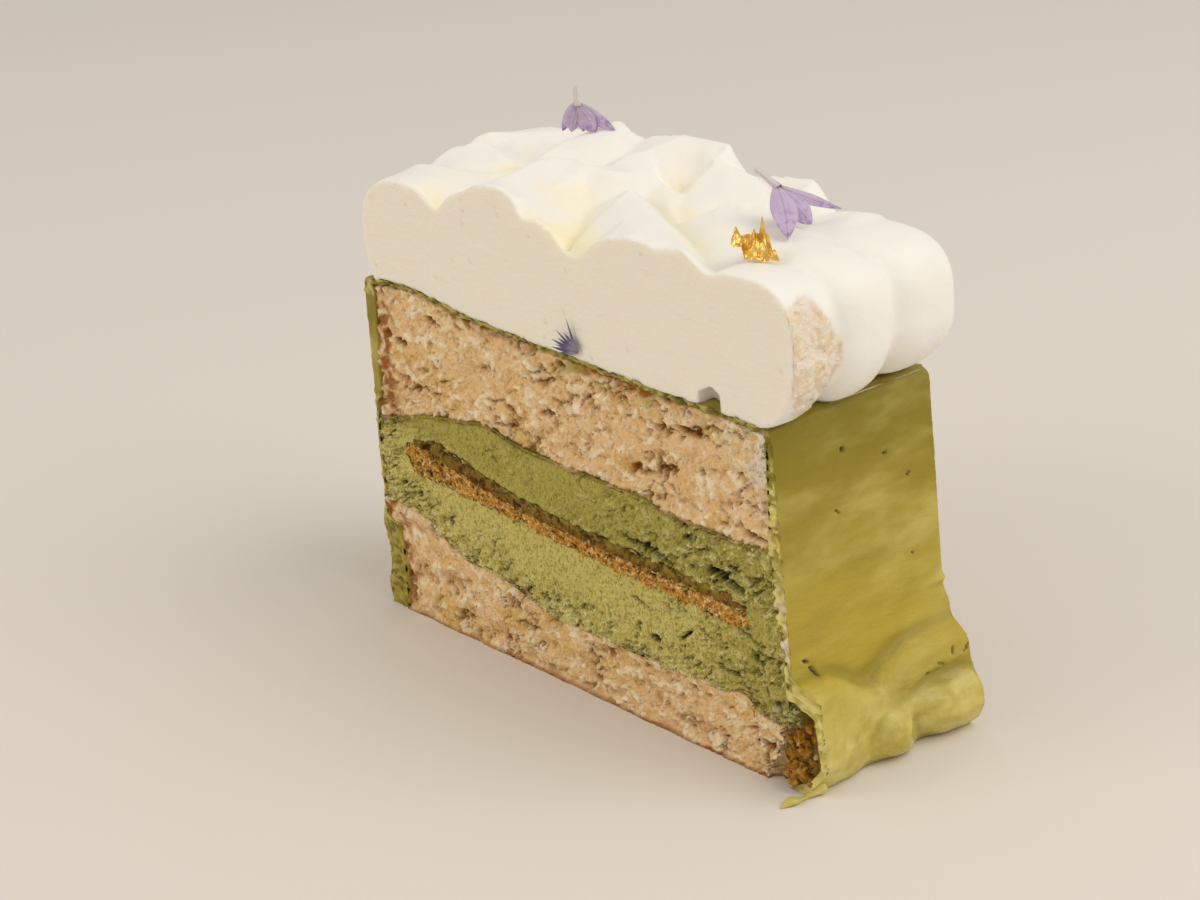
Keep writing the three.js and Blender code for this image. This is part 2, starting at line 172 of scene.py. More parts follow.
@dataclass(frozen=True)
class SliceForm:
    """Where each layer of the slice lies, in millimetres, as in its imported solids."""

    length: float = 106.7
    depth: float = 37.8
    height: float = 65.2
    gap: float = 0.3
    end_gap: float = 0.5
    flare: float = 4.1
    cover: float = 1.2
    strip_left: float = -45.0
    film_left: float = -42.5
    strip_right: float = 46.5
    nose: float = 0.16
    overlap: float = 0.3
    shift: tuple[float, float] = field(default=(0.0, 0.0))

    @classmethod
    def from_frame(cls) -> "SliceForm":
        """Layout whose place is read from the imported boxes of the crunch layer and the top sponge."""
        low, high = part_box("crunch_layer")
        strip_middle = (cls.strip_left + cls.strip_right) / 2
        x = (low.x + high.x) / 2 / MM - strip_middle
        low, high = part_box("sponge_top")
        return cls(shift=(x, (low.y + high.y) / 2 / MM))

    @property
    def front(self) -> float:
        """Plane of the front cut."""
        return -self.depth / 2

    @property
    def back(self) -> float:
        """Plane of the back cut."""
        return self.depth / 2

    @property
    def left(self) -> float:
        """Coated left end at the top edge."""
        return -self.length / 2

    @property
    def right(self) -> float:
        """Coated right end at the top edge."""
        return self.length / 2

    def place(self, points: Array) -> Array:
        """Points of the layout in the frame's metres."""
        return (np.asarray(points, float) + [self.shift[0], self.shift[1], 0.0]) * MM

    @staticmethod
    def sway(x: Array, y: Array, size: float) -> Array:
        """Slow rise and fall of a layer through the slice's depth."""
        return size * np.sin(y / 8 + x / 23)

    def bottom_sponge_top(self, x: Array, y: Array) -> Array:
        """Top of the lower sponge."""
        rise = 2.9 * ramp(x, -4, -20) + 6.1 * ramp(x, -27, -41)
        end = 1.3 * bump(x, 44, 3) - 1.8 * ramp(x, 45, 51)
        return 13.2 + rise + end + self.sway(x, y, 0.5)

    def top_sponge_bottom(self, x: Array, y: Array) -> Array:
        """Underside of the upper sponge."""
        wave = 1.8 * bump(x, -21, 6) - 4.8 * ramp(x, -30, -52) - 2.1 * ramp(x, 5, 50)
        return 43.6 + wave + self.sway(x, y, 0.4)

    def cover_top(self, x: Array, y: Array) -> Array:
        """Top of the coat."""
        return self.height - 0.03 * x + 1.3 * bump(x, -38, 10) + self.sway(x, y, 0.2)

    def crunch_bottom(self, x: Array, y: Array) -> Array:
        """Underside of the crunch layer."""
        return 28.4 - 0.045 * x + 2 * ramp(x, -36, -46) + self.sway(x, y, 0.4)

    def crunch_top(self, x: Array, y: Array) -> Array:
        """Top of the crunch layer."""
        return 31 - 0.03 * x + 3.5 * ramp(x, -8, -40) + self.sway(x, y, 0.4)

    def film_top(self, x: Array, y: Array) -> Array:
        """Top of the paste on the crunch layer."""
        return self.crunch_top(x, y) + 2 + 0.9 * ramp(x, 5, -30)

    def left_inside(self, z: Array) -> Array:
        """Inside of the coat on the left end."""
        thin = 1.7 * ramp(z, 44, 42) * ramp(z, 17, 19)
        return self.left + 2.1 + 0.9 * ramp(z, 46, 63) + 2.4 * ramp(z, 19, 14) - thin

    def left_outside(self, z: Array, y: Array) -> Array:
        """Outside of the coat on the left end, with its ragged foot."""
        rim = 1.9 * bump(z, 17.0, 3.0) + 1.9 * bump(z, 3.5, 3.5)
        return self.left - 0.5 * bump(z, 32, 8) - rim * (0.6 + 0.4 * np.sin(y / 3.1))

    def right_backing(self, z: Array) -> Array:
        """Where the layers end under the coat on the right end."""
        return self.right - 1.15 + 2.8 * ramp(z, 42, 18)


# ---- meshes ----


@dataclass(frozen=True)
class BlockGrid:
    """Surface of a block divided along three directions, for a solid that is a bent block.

    The stations along u, v and w run from 0 to 1, and u, v and w make a right-handed set on the solid.
    """

    u: Array
    v: Array
    w: Array

    def surface(self) -> tuple[Array, Array]:
        """Rows of u, v, w on the block's six sides, and its quads with their faces outward."""
        shape = (len(self.u), len(self.v), len(self.w))
        i, j, k = np.indices(shape)
        last = [n - 1 for n in shape]
        outer = (i == 0) | (i == last[0]) | (j == 0) | (j == last[1]) | (k == 0) | (k == last[2])
        number = np.full(shape, -1)
        number[outer] = np.arange(outer.sum())
        rows = np.stack([self.u[i[outer]], self.v[j[outer]], self.w[k[outer]]], axis=1)
        sheets = [(number[:, :, -1], False), (number[:, :, 0], True), (number[:, -1, :], True)]
        sheets += [(number[:, 0, :], False), (number[-1, :, :], False), (number[0, :, :], True)]
        quads = []
        for sheet, flip in sheets:
            corners = [sheet[:-1, :-1], sheet[1:, :-1], sheet[1:, 1:], sheet[:-1, 1:]]
            quad = np.stack([corner.ravel() for corner in corners], axis=1)
            quads.append(quad[:, ::-1] if flip else quad)
        return rows, np.concatenate(quads)


def stations(span: float, step: float) -> Array:
    """Even stations from 0 to 1 that are about step millimetres apart on a length of span millimetres."""
    return np.linspace(0.0, 1.0, max(2, round(span / step) + 1))


def edge_stations(count: int) -> Array:
    """Stations from 0 to 1 that crowd towards both ends, for the hidden depth between two cut faces."""
    swing = np.sin(np.linspace(-1.0, 1.0, count) * math.pi / 2)
    return 0.5 + 0.5 * np.sign(swing) * np.abs(swing) ** 0.8


def linked(name: str, data: bpy.types.ID) -> Piece:
    """New object in the scene."""
    thing = bpy.data.objects.new(name, data)
    bpy.context.scene.collection.objects.link(thing)
    return thing


def make_mesh(name: str, points: Array, faces: Array | Sequence[Sequence[int]], form: SliceForm) -> Piece:
    """Smooth-shaded object from points in the slice's layout."""
    mesh = bpy.data.meshes.new(name)
    mesh.from_pydata(form.place(points).tolist(), [], [list(map(int, face)) for face in faces])
    mesh.update()
    mesh.polygons.foreach_set("use_smooth", [True] * len(mesh.polygons))
    return linked(name, mesh)


def layout_points(piece: Piece, form: SliceForm) -> Array:
    """A piece's points in the slice's layout, in millimetres."""
    flat = np.empty(len(piece.data.vertices) * 3, np.float32)
    piece.data.vertices.foreach_get("co", flat)
    return flat.reshape(-1, 3).astype(float) / MM - [form.shift[0], form.shift[1], 0.0]


def normals(piece: Piece) -> Array:
    """Normal at each of a piece's points."""
    flat = np.empty(len(piece.data.vertices) * 3, np.float32)
    piece.data.vertex_normals.foreach_get("vector", flat)
    return flat.reshape(-1, 3).astype(float)


def move_points(piece: Piece, points: Array, form: SliceForm) -> None:
    """Puts a piece's points at places in the slice's layout."""
    piece.data.vertices.foreach_set("co", form.place(points).astype(np.float32).ravel())
    piece.data.update()


def store(piece: Piece, **values: Array) -> None:
    """Keeps a number for each point of a piece, under the name that its material or scatter reads."""
    for name, numbers in values.items():
        attribute = piece.data.attributes.new(name, "FLOAT", "POINT")
        attribute.data.foreach_set("value", np.clip(numbers, 0, 1).astype(np.float32))


def apply_modifiers(piece: Piece) -> None:
    """Turns a piece's modifiers into its plain mesh."""
    depsgraph = bpy.context.evaluated_depsgraph_get()
    evaluated = piece.evaluated_get(depsgraph)
    mesh = bpy.data.meshes.new_from_object(evaluated, preserve_all_data_layers=True, depsgraph=depsgraph)
    piece.modifiers.clear()
    old = piece.data
    piece.data = mesh
    mesh.name = piece.name
    bpy.data.meshes.remove(old)


def remove(piece: Piece) -> None:
    """Deletes a helper object with its mesh."""
    mesh = piece.data
    bpy.data.objects.remove(piece)
    bpy.data.meshes.remove(mesh)


def sheet_quads(rows: int, columns: int, first: int = 0, closed: bool = False) -> list[tuple[int, ...]]:
    """Quads of a sheet of rows by columns points that are numbered from first, closed round or open."""
    quads = []
    for r in range(rows - 1):
        for c in range(columns if closed else columns - 1):
            d = (c + 1) % columns
            start, below = first + r * columns, first + (r + 1) * columns
            quads.append((start + c, start + d, below + d, below + c))
    return quads


def outward(quads: Sequence[tuple[int, ...]]) -> list[tuple[int, ...]]:
    """The same quads with their faces turned round."""
    return [(a, d, c, b) for a, b, c, d in quads]


def thicken(piece: Piece, thickness: float) -> None:
    """Turns a sheet into a leaf of a thickness in millimetres."""
    leaf = piece.modifiers.new("leaf", "SOLIDIFY")
    leaf.thickness, leaf.offset = thickness * MM, 0
    apply_modifiers(piece)


# ---- node trees ----


def add(tree: bpy.types.NodeTree, kind: str, inputs: dict | None = None, **settings) -> bpy.types.Node:
    """Adds a node.

    Args:
        tree: Tree that it goes in.
        kind: Blender's type name of it.
        inputs: For each input, by name or number, a value or the output socket that feeds it.
        settings: Its properties.

    Returns:
        The node.
    """
    node = tree.nodes.new(kind)
    for name, value in settings.items():
        setattr(node, name, value)
    for key, value in (inputs or {}).items():
        if isinstance(value, Socket):
            tree.links.new(value, node.inputs[key])
        else:
            node.inputs[key].default_value = value
    return node


def hex_colour(code: str) -> tuple[float, float, float, float]:
    """Linear colour of an sRGB hex value such as "e8c890"."""
    channels = [int(code[i : i + 2], 16) / 255 for i in (0, 2, 4)]
    linear = [c / 12.92 if c <= 0.04045 else ((c + 0.055) / 1.055) ** 2.4 for c in channels]
    return (*linear, 1.0)


@dataclass
class Painter:
    """Builds one material, one layer of colour and relief after another, on a Principled shader."""

    name: str
    base: str
    roughness: float
    material: bpy.types.Material = field(init=False)

    def __post_init__(self) -> None:
        """Starts the material with its base colour."""
        self.material = bpy.data.materials.new(self.name)
        self.material.use_nodes = True
        self.tree = self.material.node_tree
        self.tree.nodes.clear()
        self.shader = self.node("BsdfPrincipled", {"Roughness": self.roughness})
        output = self.node("OutputMaterial")
        self.tree.links.new(self.shader.outputs[0], output.inputs["Surface"])
        self.place = self.node("TexCoord").outputs["Object"]
        self.colour = self.node("RGB").outputs[0]
        self.colour.default_value = hex_colour(self.base)
        self.relief = None

    def node(self, kind: str, inputs: dict | None = None, **settings) -> bpy.types.Node:
        """Adds a shader node, whose kind is named without its prefix."""
        return add(self.tree, f"ShaderNode{kind}", inputs, **settings)

    def constants(self, **sockets: float | tuple) -> "Painter":
        """Sets the shader's sockets that are the same all over, with _ for each space of their names."""
        for name, value in sockets.items():
            self.shader.inputs[name.replace("_", " ")].default_value = value
        return self

    def stored(self, name: str) -> Socket:
        """The number that each point keeps under a name."""
        return self.node("Attribute", attribute_name=name).outputs["Fac"]

    def grain(
        self, width: float, detail: float, stretch: Triple = (1, 1, 1), turn: Triple = (0, 0, 0)
    ) -> Socket:
        """Noise from 0 to 1 whose waves are about width millimetres, stretched along an axis."""
        mapping = {"Vector": self.place, "Scale": stretch, "Rotation": turn}
        mapped = self.node("Mapping", mapping).outputs[0]
        inputs = {"Vector": mapped, "Scale": 1 / (width * MM), "Detail": detail, "Roughness": 0.6}
        return self.node("TexNoise", inputs).outputs["Fac"]

    def grains(self, width: float, output: str = "Distance") -> Socket:
        """Voronoi cells about width millimetres wide."""
        inputs = {"Vector": self.place, "Scale": 1 / (width * MM)}
        return self.node("TexVoronoi", inputs).outputs[output]

    def between(
        self, value: Socket, low: float, high: float, to_low: float = 0.0, to_high: float = 1.0
    ) -> Socket:
        """A value stretched so that low becomes to_low and high becomes to_high, held between them."""
        inputs = {"Value": value, "From Min": low, "From Max": high, "To Min": to_low, "To Max": to_high}
        return self.node("MapRange", inputs, interpolation_type="SMOOTHSTEP").outputs[0]

    def both(self, one: Socket, other: Socket | float) -> Socket:
        """One share times the other."""
        return self.node("Math", {0: one, 1: other}, operation="MULTIPLY").outputs[0]

    def tint(self, code: str, share: Socket) -> None:
        """Lays a colour over what is there, by a share from 0 to 1."""
        mix = self.node("Mix", {"Factor": share}, data_type="RGBA")
        self.tree.links.new(self.colour, mix.inputs["A"])
        mix.inputs["B"].default_value = hex_colour(code)
        self.colour = mix.outputs["Result"]

    def masks(self, finish: object, *names: str) -> None:
        """Lays the finish's colour of each name over what is there, by the number kept under that name."""
        for name in names:
            self.tint(getattr(finish, name), self.stored(name))

    def emboss(self, height: Socket, rise: float) -> None:
        """Adds fine relief that rises by rise millimetres."""
        inputs = {"Height": height, "Distance": rise * MM, "Strength": 1.0}
        if self.relief is not None:
            inputs["Normal"] = self.relief
        self.relief = self.node("Bump", inputs).outputs["Normal"]

    def gloss(self, roughness: Socket) -> None:
        """Lets the roughness vary over the surface."""
        self.tree.links.new(roughness, self.shader.inputs["Roughness"])

    def finish(self) -> bpy.types.Material:
        """Links the colour and relief, and returns the material."""
        self.tree.links.new(self.colour, self.shader.inputs["Base Color"])
        if self.relief is not None:
            self.tree.links.new(self.relief, self.shader.inputs["Normal"])
        return self.material


def soften(painter: Painter, weight: float, reach: float, radius: Triple) -> None:
    """Lets light soak into a material, by reach millimetres, with a share of it for red, green and blue."""
    painter.constants(Subsurface_Weight=weight, Subsurface_Scale=reach * MM, Subsurface_Radius=radius)


# ---- finishes ----


@dataclass(frozen=True)
class NutSponge:
    """Baked nut meringue sponge: a matt open crumb, pale where it is dry and amber where syrup soaked in."""

    crumb: str = "ecc68f"
    pale: str = "fdf0d2"
    amber: str = "dcb058"
    # hollow is the colour of painted shade in the crumb's deepest spots.
    hollow: str = "84501a"
    crust: str = "96550f"
    stain: str = "a79c38"
    smear: str = "f0e6d6"

    def build(self) -> bpy.types.Material:
        """The material. Crumbs are 0.4 to 1 mm wide, and hollows stay darker than a lamp would make them."""
        p = Painter("baked nut sponge crumb", self.crumb, 0.85).constants(IOR=1.4, Specular_IOR_Level=0.1)
        soften(p, 0.2, 1.0, (1.0, 0.72, 0.45))
        p.tint(self.amber, p.both(p.stored("moist"), p.between(p.grain(2.5, 3), 0.3, 0.7, 0.35, 1.0)))
        p.tint(self.pale, p.between(p.stored("tone"), 0.45, 0.95, 0.0, 0.8))
        p.tint(self.amber, p.between(p.stored("tone"), 0.3, 0.0, 0.0, 0.45))
        p.tint(self.pale, p.between(p.grain(0.5, 2), 0.52, 0.75, 0.0, 0.5))
        # hollow lays painted shade on the deepest spots; stain, crust and smear are the sponge's own colours.
        p.masks(self, "hollow", "stain", "crust", "smear")
        p.emboss(p.grains(0.6), 0.18)
        p.emboss(p.grain(1.1, 3), 0.4)
        p.emboss(p.grain(0.25, 2), 0.1)
        return p.finish()


@dataclass(frozen=True)
class TornCream:
    """Chilled matcha buttercream cut with a knife: matt, dull sage, torn into small flakes."""

    body: str = "e2d47c"
    pale: str = "f8eeae"
    band: str = "998f2c"
    # hollow is the colour of painted shade in the deepest tears and cracks.
    hollow: str = "3a380a"

    def build(self) -> bpy.types.Material:
        """The material. Its felt of strokes is 0.3 mm fine."""
        p = Painter("torn matcha buttercream", self.body, 0.75).constants(IOR=1.45, Specular_IOR_Level=0.1)
        soften(p, 0.15, 1.0, (1.0, 0.9, 0.3))
        p.masks(self, "band")
        # Painted highlights on the flakes that the knife tore loose.
        p.tint(self.pale, p.both(p.stored("flake"), p.between(p.grain(0.9, 3), 0.4, 0.6)))
        p.tint(self.band, p.between(p.stored("tone"), 0.35, 0.0, 0.0, 0.6))
        p.tint(self.band, p.between(p.grain(0.45, 3, (1, 1, 0.6), (0, 0.5, 0)), 0.5, 0.66, 0.0, 0.75))
        # Painted shade in the deepest tears and cracks.
        p.masks(self, "hollow")
        p.emboss(p.grain(0.42, 3, (1, 1, 0.55), (0, 0.5, 0)), 0.85)
        p.emboss(p.grain(1.3, 3), 0.6)
        return p.finish()


@dataclass(frozen=True)
class CoatCream:
    """Matcha cream coat drawn smooth with a palette knife: satin, deeper at the top by its own colour and by
    painted shade, glossier at the foot.
    """

    body: str = "b9a338"
    deep: str = "857611"
    pale: str = "dccf78"
    bead: str = "e2d684"
    # hollow is the colour of painted shade in holes, cracks and between crumbs.
    hollow: str = "3a360a"
    smear: str = "efe6d6"
    cream: str = "c9b96e"

    def build(self) -> bpy.types.Material:
        """The material. The knife left broad soft strokes, 3 to 9 mm wide."""
        p = Painter("palette-knifed matcha cream", self.body, 0.42)
        p.constants(IOR=1.45, Specular_IOR_Level=0.4)
        soften(p, 0.12, 1.0, (1.0, 0.9, 0.25))
        # Darker towards the top: partly the coat's own deeper colour, partly painted shade from the cream
        # above.
        p.tint(self.deep, p.between(p.stored("height"), 0.35, 1.02, 0.0, 1.0))
        p.tint(self.pale, p.between(p.grain(9, 3, (1, 0.4, 1), (0.6, 0, 0)), 0.4, 0.75, 0.0, 0.5))
        p.tint(self.deep, p.between(p.grain(7, 4, (1, 0.4, 1), (0.5, 0, 0)), 0.42, 0.75, 0.0, 0.4))
        # Pale patches on the foot: painted light, standing for light reflected from the floor and for
        # highlights.
        p.tint(self.pale, p.both(p.stored("foot"), p.between(p.grain(4, 2), 0.3, 0.7, 0.2, 0.8)))
        # Painted shade in the folds of the foot, and on the cut face near its top and low at its left end.
        p.tint(self.deep, p.stored("crease"))
        # hollow lays painted shade in the holes and cracks and between the cut face's crumbs; cream, bead and
        # smear are the coat's own colours.
        p.masks(self, "cream", "bead", "hollow", "smear")
        p.emboss(p.grain(4, 4, (1, 0.35, 1), (0.6, 0, 0)), 0.55)
        p.emboss(p.grain(0.7, 2), 0.06)
        p.gloss(p.between(p.stored("foot"), 0.0, 1.0, 0.5, 0.27))
        return p.finish()


@dataclass(frozen=True)
class Crunch:
    """Crushed wafer bound with praline: golden brown grains with light flecks, and painted shade in the gaps
    between them.
    """

    body: str = "e0a23c"
    pale: str = "ffe4a0"
    dark: str = "7c4c12"
    # hollow is the colour of painted shade in the gaps between grains.
    hollow: str = "2a1804"

    def build(self) -> bpy.types.Material:
        """The material. Its grains are 0.3 to 0.9 mm."""
        p = Painter("praline wafer crunch", self.body, 0.55).constants(IOR=1.45, Specular_IOR_Level=0.15)
        p.tint(self.dark, p.between(p.grains(0.9, "Color"), 0.55, 1.0, 0.0, 0.8))
        p.tint(self.pale, p.between(p.grain(0.7, 3), 0.5, 0.62, 0.0, 1.0))
        p.tint(self.dark, p.between(p.grain(1.6, 3), 0.5, 0.75, 0.0, 0.6))
        # Painted shade in the gaps between grains, laid in random patches.
        p.tint(self.hollow, p.between(p.grain(1.1, 3), 0.58, 0.68, 0.0, 0.8))
        # Painted shade where the cut face is pressed in deepest.
        p.masks(self, "hollow")
        p.emboss(p.grains(0.6), 0.45)
        p.emboss(p.grain(0.3, 3), 0.25)
        return p.finish()


@dataclass(frozen=True)
class PralineFilm:
    """Thin praline paste under the cream: smooth olive brown, darker towards the crunch."""

    body: str = "86641e"
    dark: str = "50330c"
    olive: str = "9c8a3c"

    def build(self) -> bpy.types.Material:
        """The material."""
        p = Painter("praline paste", self.body, 0.5).constants(IOR=1.46, Specular_IOR_Level=0.15)
        p.tint(self.olive, p.both(p.stored("upper"), p.between(p.grain(3, 3), 0.35, 0.65)))
        p.tint(self.dark, p.between(p.grain(1.8, 4), 0.45, 0.62, 0.0, 0.9))
        p.tint(self.olive, p.between(p.grain(0.7, 3), 0.52, 0.66, 0.0, 0.8))
        # Painted shade where the cut face is pressed in deepest.
        p.tint(self.dark, p.stored("hollow"))
        p.emboss(p.grain(0.6, 3), 0.5)
        return p.finish()


@dataclass(frozen=True)
class WhippedCream:
    """Whipped dairy cream: soft warm white with painted shade on its cut faces, and a little painted
    yellowish shade where its folds meet.
    """

    body: str = "fcf6ed"
    # The cut colour is painted shade on the cut faces, a little darker and warmer, as under warm bounce
    # light.
    cut: str = "f6eddd"
    # The next colour is painted yellowish shade for the valleys between the mounds.
    valley_shade: str = "fff0c8"
    torn: str = "f0dab8"

    def build(self) -> bpy.types.Material:
        """The material. Its skin is smooth, and its cut shows fine pores and knife smears."""
        p = Painter("whipped dairy cream", self.body, 0.48).constants(IOR=1.4, Specular_IOR_Level=0.35)
        soften(p, 0.5, 1.8, (1.0, 0.82, 0.6))
        # Painted shade on the cut faces, a little darker and warmer than the skin.
        p.masks(self, "cut")
        # Painted yellowish shade in the low valleys between the mounds.
        p.tint(self.valley_shade, p.stored("fold"))
        p.tint(self.torn, p.both(p.stored("torn"), p.between(p.grain(2.6, 3), 0.36, 0.64, 0.4, 1.0)))
        smears = p.between(p.grain(2.2, 3, (0.35, 1, 1), (0, 0.45, 0)), 0.35, 0.7)
        p.emboss(p.both(smears, p.stored("cut")), 0.12)
        p.emboss(p.grain(0.8, 3), 0.1)
        p.emboss(p.both(p.grain(1.2, 4), p.stored("torn")), 0.8)
        return p.finish()


@dataclass(frozen=True)
class Petal:
    """Dried cornflower petal: thin and papery, veined, paler towards its tube."""

    body: str
    pale: str
    vein: str

    def build(self, name: str) -> bpy.types.Material:
        """The material, which light soaks into."""
        p = Painter(name, self.body, 0.6).constants(IOR=1.4, Specular_IOR_Level=0.3, Sheen_Weight=0.15)
        soften(p, 0.4, 0.8, (0.8, 0.7, 1.0))
        p.tint(self.vein, p.between(p.stored("vein"), 0.6, 1.0, 0.0, 0.45))
        spots, outer = p.between(p.grain(1.6, 2), 0.45, 0.7), p.between(p.stored("along"), 0.5, 1.0)
        p.tint(self.vein, p.both(spots, outer))
        p.tint(self.pale, p.between(p.stored("along"), 0.5, 0.22))
        p.emboss(p.stored("vein"), 0.12)
        return p.finish()


@dataclass(frozen=True)
class GoldLeaf:
    """Beaten edible gold leaf: a bright crumpled metal foil."""

    body: str = "f2cd74"
    # The second colour is painted shade, laid in brown patches at random over the foil.
    brown_shade: str = "c4923c"

    def build(self) -> bpy.types.Material:
        """The material."""
        p = Painter("beaten gold leaf", self.body, 0.36).constants(Metallic=1.0)
        # Painted shade: brown patches at random over the foil.
        p.tint(self.brown_shade, p.between(p.grain(0.8, 3), 0.5, 0.75, 0.0, 0.6))
        p.emboss(p.grain(0.6, 3), 0.15)
        return p.finish()


def studio_paper() -> bpy.types.Material:
    """Plain pale backdrop paper."""
    return Painter("pale backdrop paper", "e6dfd6", 0.9).constants(Specular_IOR_Level=0.2).finish()


# ---- relief ----


@dataclass(frozen=True)
class Tear:
    """A crack or hole torn in a face: middle, half length, half height and depth in mm, turn in degrees."""

    x: float
    z: float
    long: float
    high: float
    turn: float = 0.0
    deep: float = 1.5

    def depth_at(self, across: Array, up: Array, ragged: Array) -> Array:
        """How deep the tear is at places of the face, with its rim moved by ragged noise."""
        angle = math.radians(self.turn)
        along = (across - self.x) * math.cos(angle) + (up - self.z) * math.sin(angle)
        over = (up - self.z) * math.cos(angle) - (across - self.x) * math.sin(angle)
        radius = np.hypot(along / self.long, over / self.high) + 0.5 * ragged
        return self.deep * ramp(radius, 1.25, 0.65)


def tears(*rows: tuple[float, ...]) -> tuple[Tear, ...]:
    """Tears from rows of their numbers."""
    return tuple(Tear(*row) for row in rows)


def on_cut(points: Array, form: SliceForm) -> Array:
    """1 on the two cut faces and 0 just inside them."""
    return ramp(np.abs(points[:, 1]), form.depth / 2 - 0.4, form.depth / 2 - 0.05)


def torn_depth(points: Array, marks: Sequence[Tear], form: SliceForm, seed: int) -> Array:
    """Depth of the tears on the front face, and of the same ones mirrored along X on the back face."""
    ragged = noise(points, 2.2, seed, 3)
    across = np.where(points[:, 1] < 0, points[:, 0], -points[:, 0])
    total = np.zeros(len(points))
    for mark in marks:
        total = np.maximum(total, mark.depth_at(across, points[:, 2], ragged))
    return total * on_cut(points, form)


def press_cut(points: Array, depth: Array, form: SliceForm) -> Array:
    """Points whose cut faces are pressed in by a depth, with nothing proud of the cut."""
    pressed = points.copy()
    pressed[:, 1] -= np.sign(points[:, 1]) * np.maximum(depth, 0.0) * on_cut(points, form)
    return pressed


# ---- scattered grains ----


def scatter_tree() -> bpy.types.NodeTree:
    """Geometry Nodes that strew lumpy grains over a mesh, where its points keep a "strewn" number."""
    tree = bpy.data.node_groups.new("strewn grains", "GeometryNodeTree")
    kinds = {"Geometry": "Geometry", "Grains per square metre": "Float", "Smallest": "Float"}
    kinds |= {"Largest": "Float", "Seed": "Int", "Material": "Material"}
    for name, kind in kinds.items():
        tree.interface.new_socket(name, in_out="INPUT", socket_type=f"NodeSocket{kind}")
    tree.interface.new_socket("Geometry", in_out="OUTPUT", socket_type="NodeSocketGeometry")
    source = add(tree, "NodeGroupInput").outputs

    def random(low: object, high: object, seed: int | Socket, kind: str = "FLOAT_VECTOR") -> bpy.types.Node:
        """A random value between two others: a vector, or a number where kind says so."""
        ends = (0, 1) if kind == "FLOAT_VECTOR" else ("Min", "Max")
        limits = {ends[0]: low, ends[1]: high, "Seed": seed}
        return add(tree, "FunctionNodeRandomValue", limits, data_type=kind)

    strewn = add(tree, "GeometryNodeInputNamedAttribute", {"Name": "strewn"}, data_type="FLOAT")
    spread = {
        "Mesh": source["Geometry"],
        "Distance Min": source["Smallest"],
        "Density Max": source["Grains per square metre"],
        "Density Factor": strewn.outputs["Attribute"],
        "Seed": source["Seed"],
    }
    places = add(tree, "GeometryNodeDistributePointsOnFaces", spread, distribute_method="POISSON")
    ball = add(tree, "GeometryNodeMeshIcoSphere", {"Radius": 0.5, "Subdivisions": 2}).outputs["Mesh"]
    lumps = add(tree, "ShaderNodeTexNoise", {"Scale": 1.9, "Detail": 1.0}).outputs["Color"]
    centred = add(tree, "ShaderNodeVectorMath", {0: lumps, 1: (0.5, 0.5, 0.5)}, operation="SUBTRACT")
    bulge = add(tree, "ShaderNodeVectorMath", {0: centred.outputs[0], "Scale": 0.9}, operation="SCALE")
    grain = add(tree, "GeometryNodeSetPosition", {"Geometry": ball, "Offset": bulge.outputs[0]})
    size = random(source["Smallest"], source["Largest"], source["Seed"], "FLOAT")
    squash = random((0.6, 0.6, 0.5), (1.25, 1.25, 0.9), 5).outputs[0]
    scale = add(tree, "ShaderNodeVectorMath", {0: squash, "Scale": size.outputs[1]}, operation="SCALE")
    copies = {
        "Points": places.outputs["Points"],
        "Instance": grain.outputs["Geometry"],
        "Rotation": random((0.0, 0.0, 0.0), (math.tau, math.tau, math.tau), 6).outputs[0],
        "Scale": scale.outputs[0],
    }
    instances = add(tree, "GeometryNodeInstanceOnPoints", copies).outputs[0]
    tone = add(tree, "FunctionNodeRandomValue", {"Seed": 9}, data_type="FLOAT").outputs[1]
    kept = {"Geometry": instances, "Name": "tone", "Value": tone}
    toned = add(tree, "GeometryNodeStoreNamedAttribute", kept, data_type="FLOAT", domain="INSTANCE")
    joined_up = add(tree, "GeometryNodeRealizeInstances", {"Geometry": toned.outputs[0]}).outputs[0]
    dressed = add(tree, "GeometryNodeSetMaterial", {"Geometry": joined_up, "Material": source["Material"]})
    add(tree, "NodeGroupOutput", {"Geometry": dressed.outputs[0]})
    return tree


@dataclass
class Strewer:
    """Strews grains over pieces with one Geometry Nodes tree."""

    tree: bpy.types.NodeTree = field(default_factory=scatter_tree)

    def strew(
        self,
        name: str,
        ground: Piece,
        material: bpy.types.Material,
        spacing: float,
        sizes: tuple[float, float],
        seed: int,
    ) -> Piece:
        """Grains on a piece, joined as one mesh.

        Args:
            name: Name of the new piece.
            ground: Piece whose points keep a "strewn" number.
            material: What the grains are made of.
            spacing: Mean distance between grains in millimetres, where they lie closest.
            sizes: Smallest and largest width in millimetres.
            seed: Picks their places.

        Returns:
            The piece.
        """
        piece = linked(name, ground.data.copy())
        modifier = piece.modifiers.new("strewn", "NODES")
        modifier.node_group = self.tree
        values = {
            "Grains per square metre": 1 / (spacing * MM) ** 2,
            "Smallest": sizes[0] * MM,
            "Largest": sizes[1] * MM,
            "Seed": seed,
            "Material": material,
        }
        for item in self.tree.interface.items_tree:
            if item.in_out == "INPUT" and item.name in values:
                modifier[item.identifier] = values[item.name]
        apply_modifiers(piece)
        places = layout_points(piece, SliceForm())
        places[:, 2] = np.maximum(places[:, 2], 0.02)
        move_points(piece, places, SliceForm())
        for name_left in ("strewn", "hollow"):
            if name_left in piece.data.attributes:
                piece.data.attributes.remove(piece.data.attributes[name_left])
        return piece


# ---- layers ----


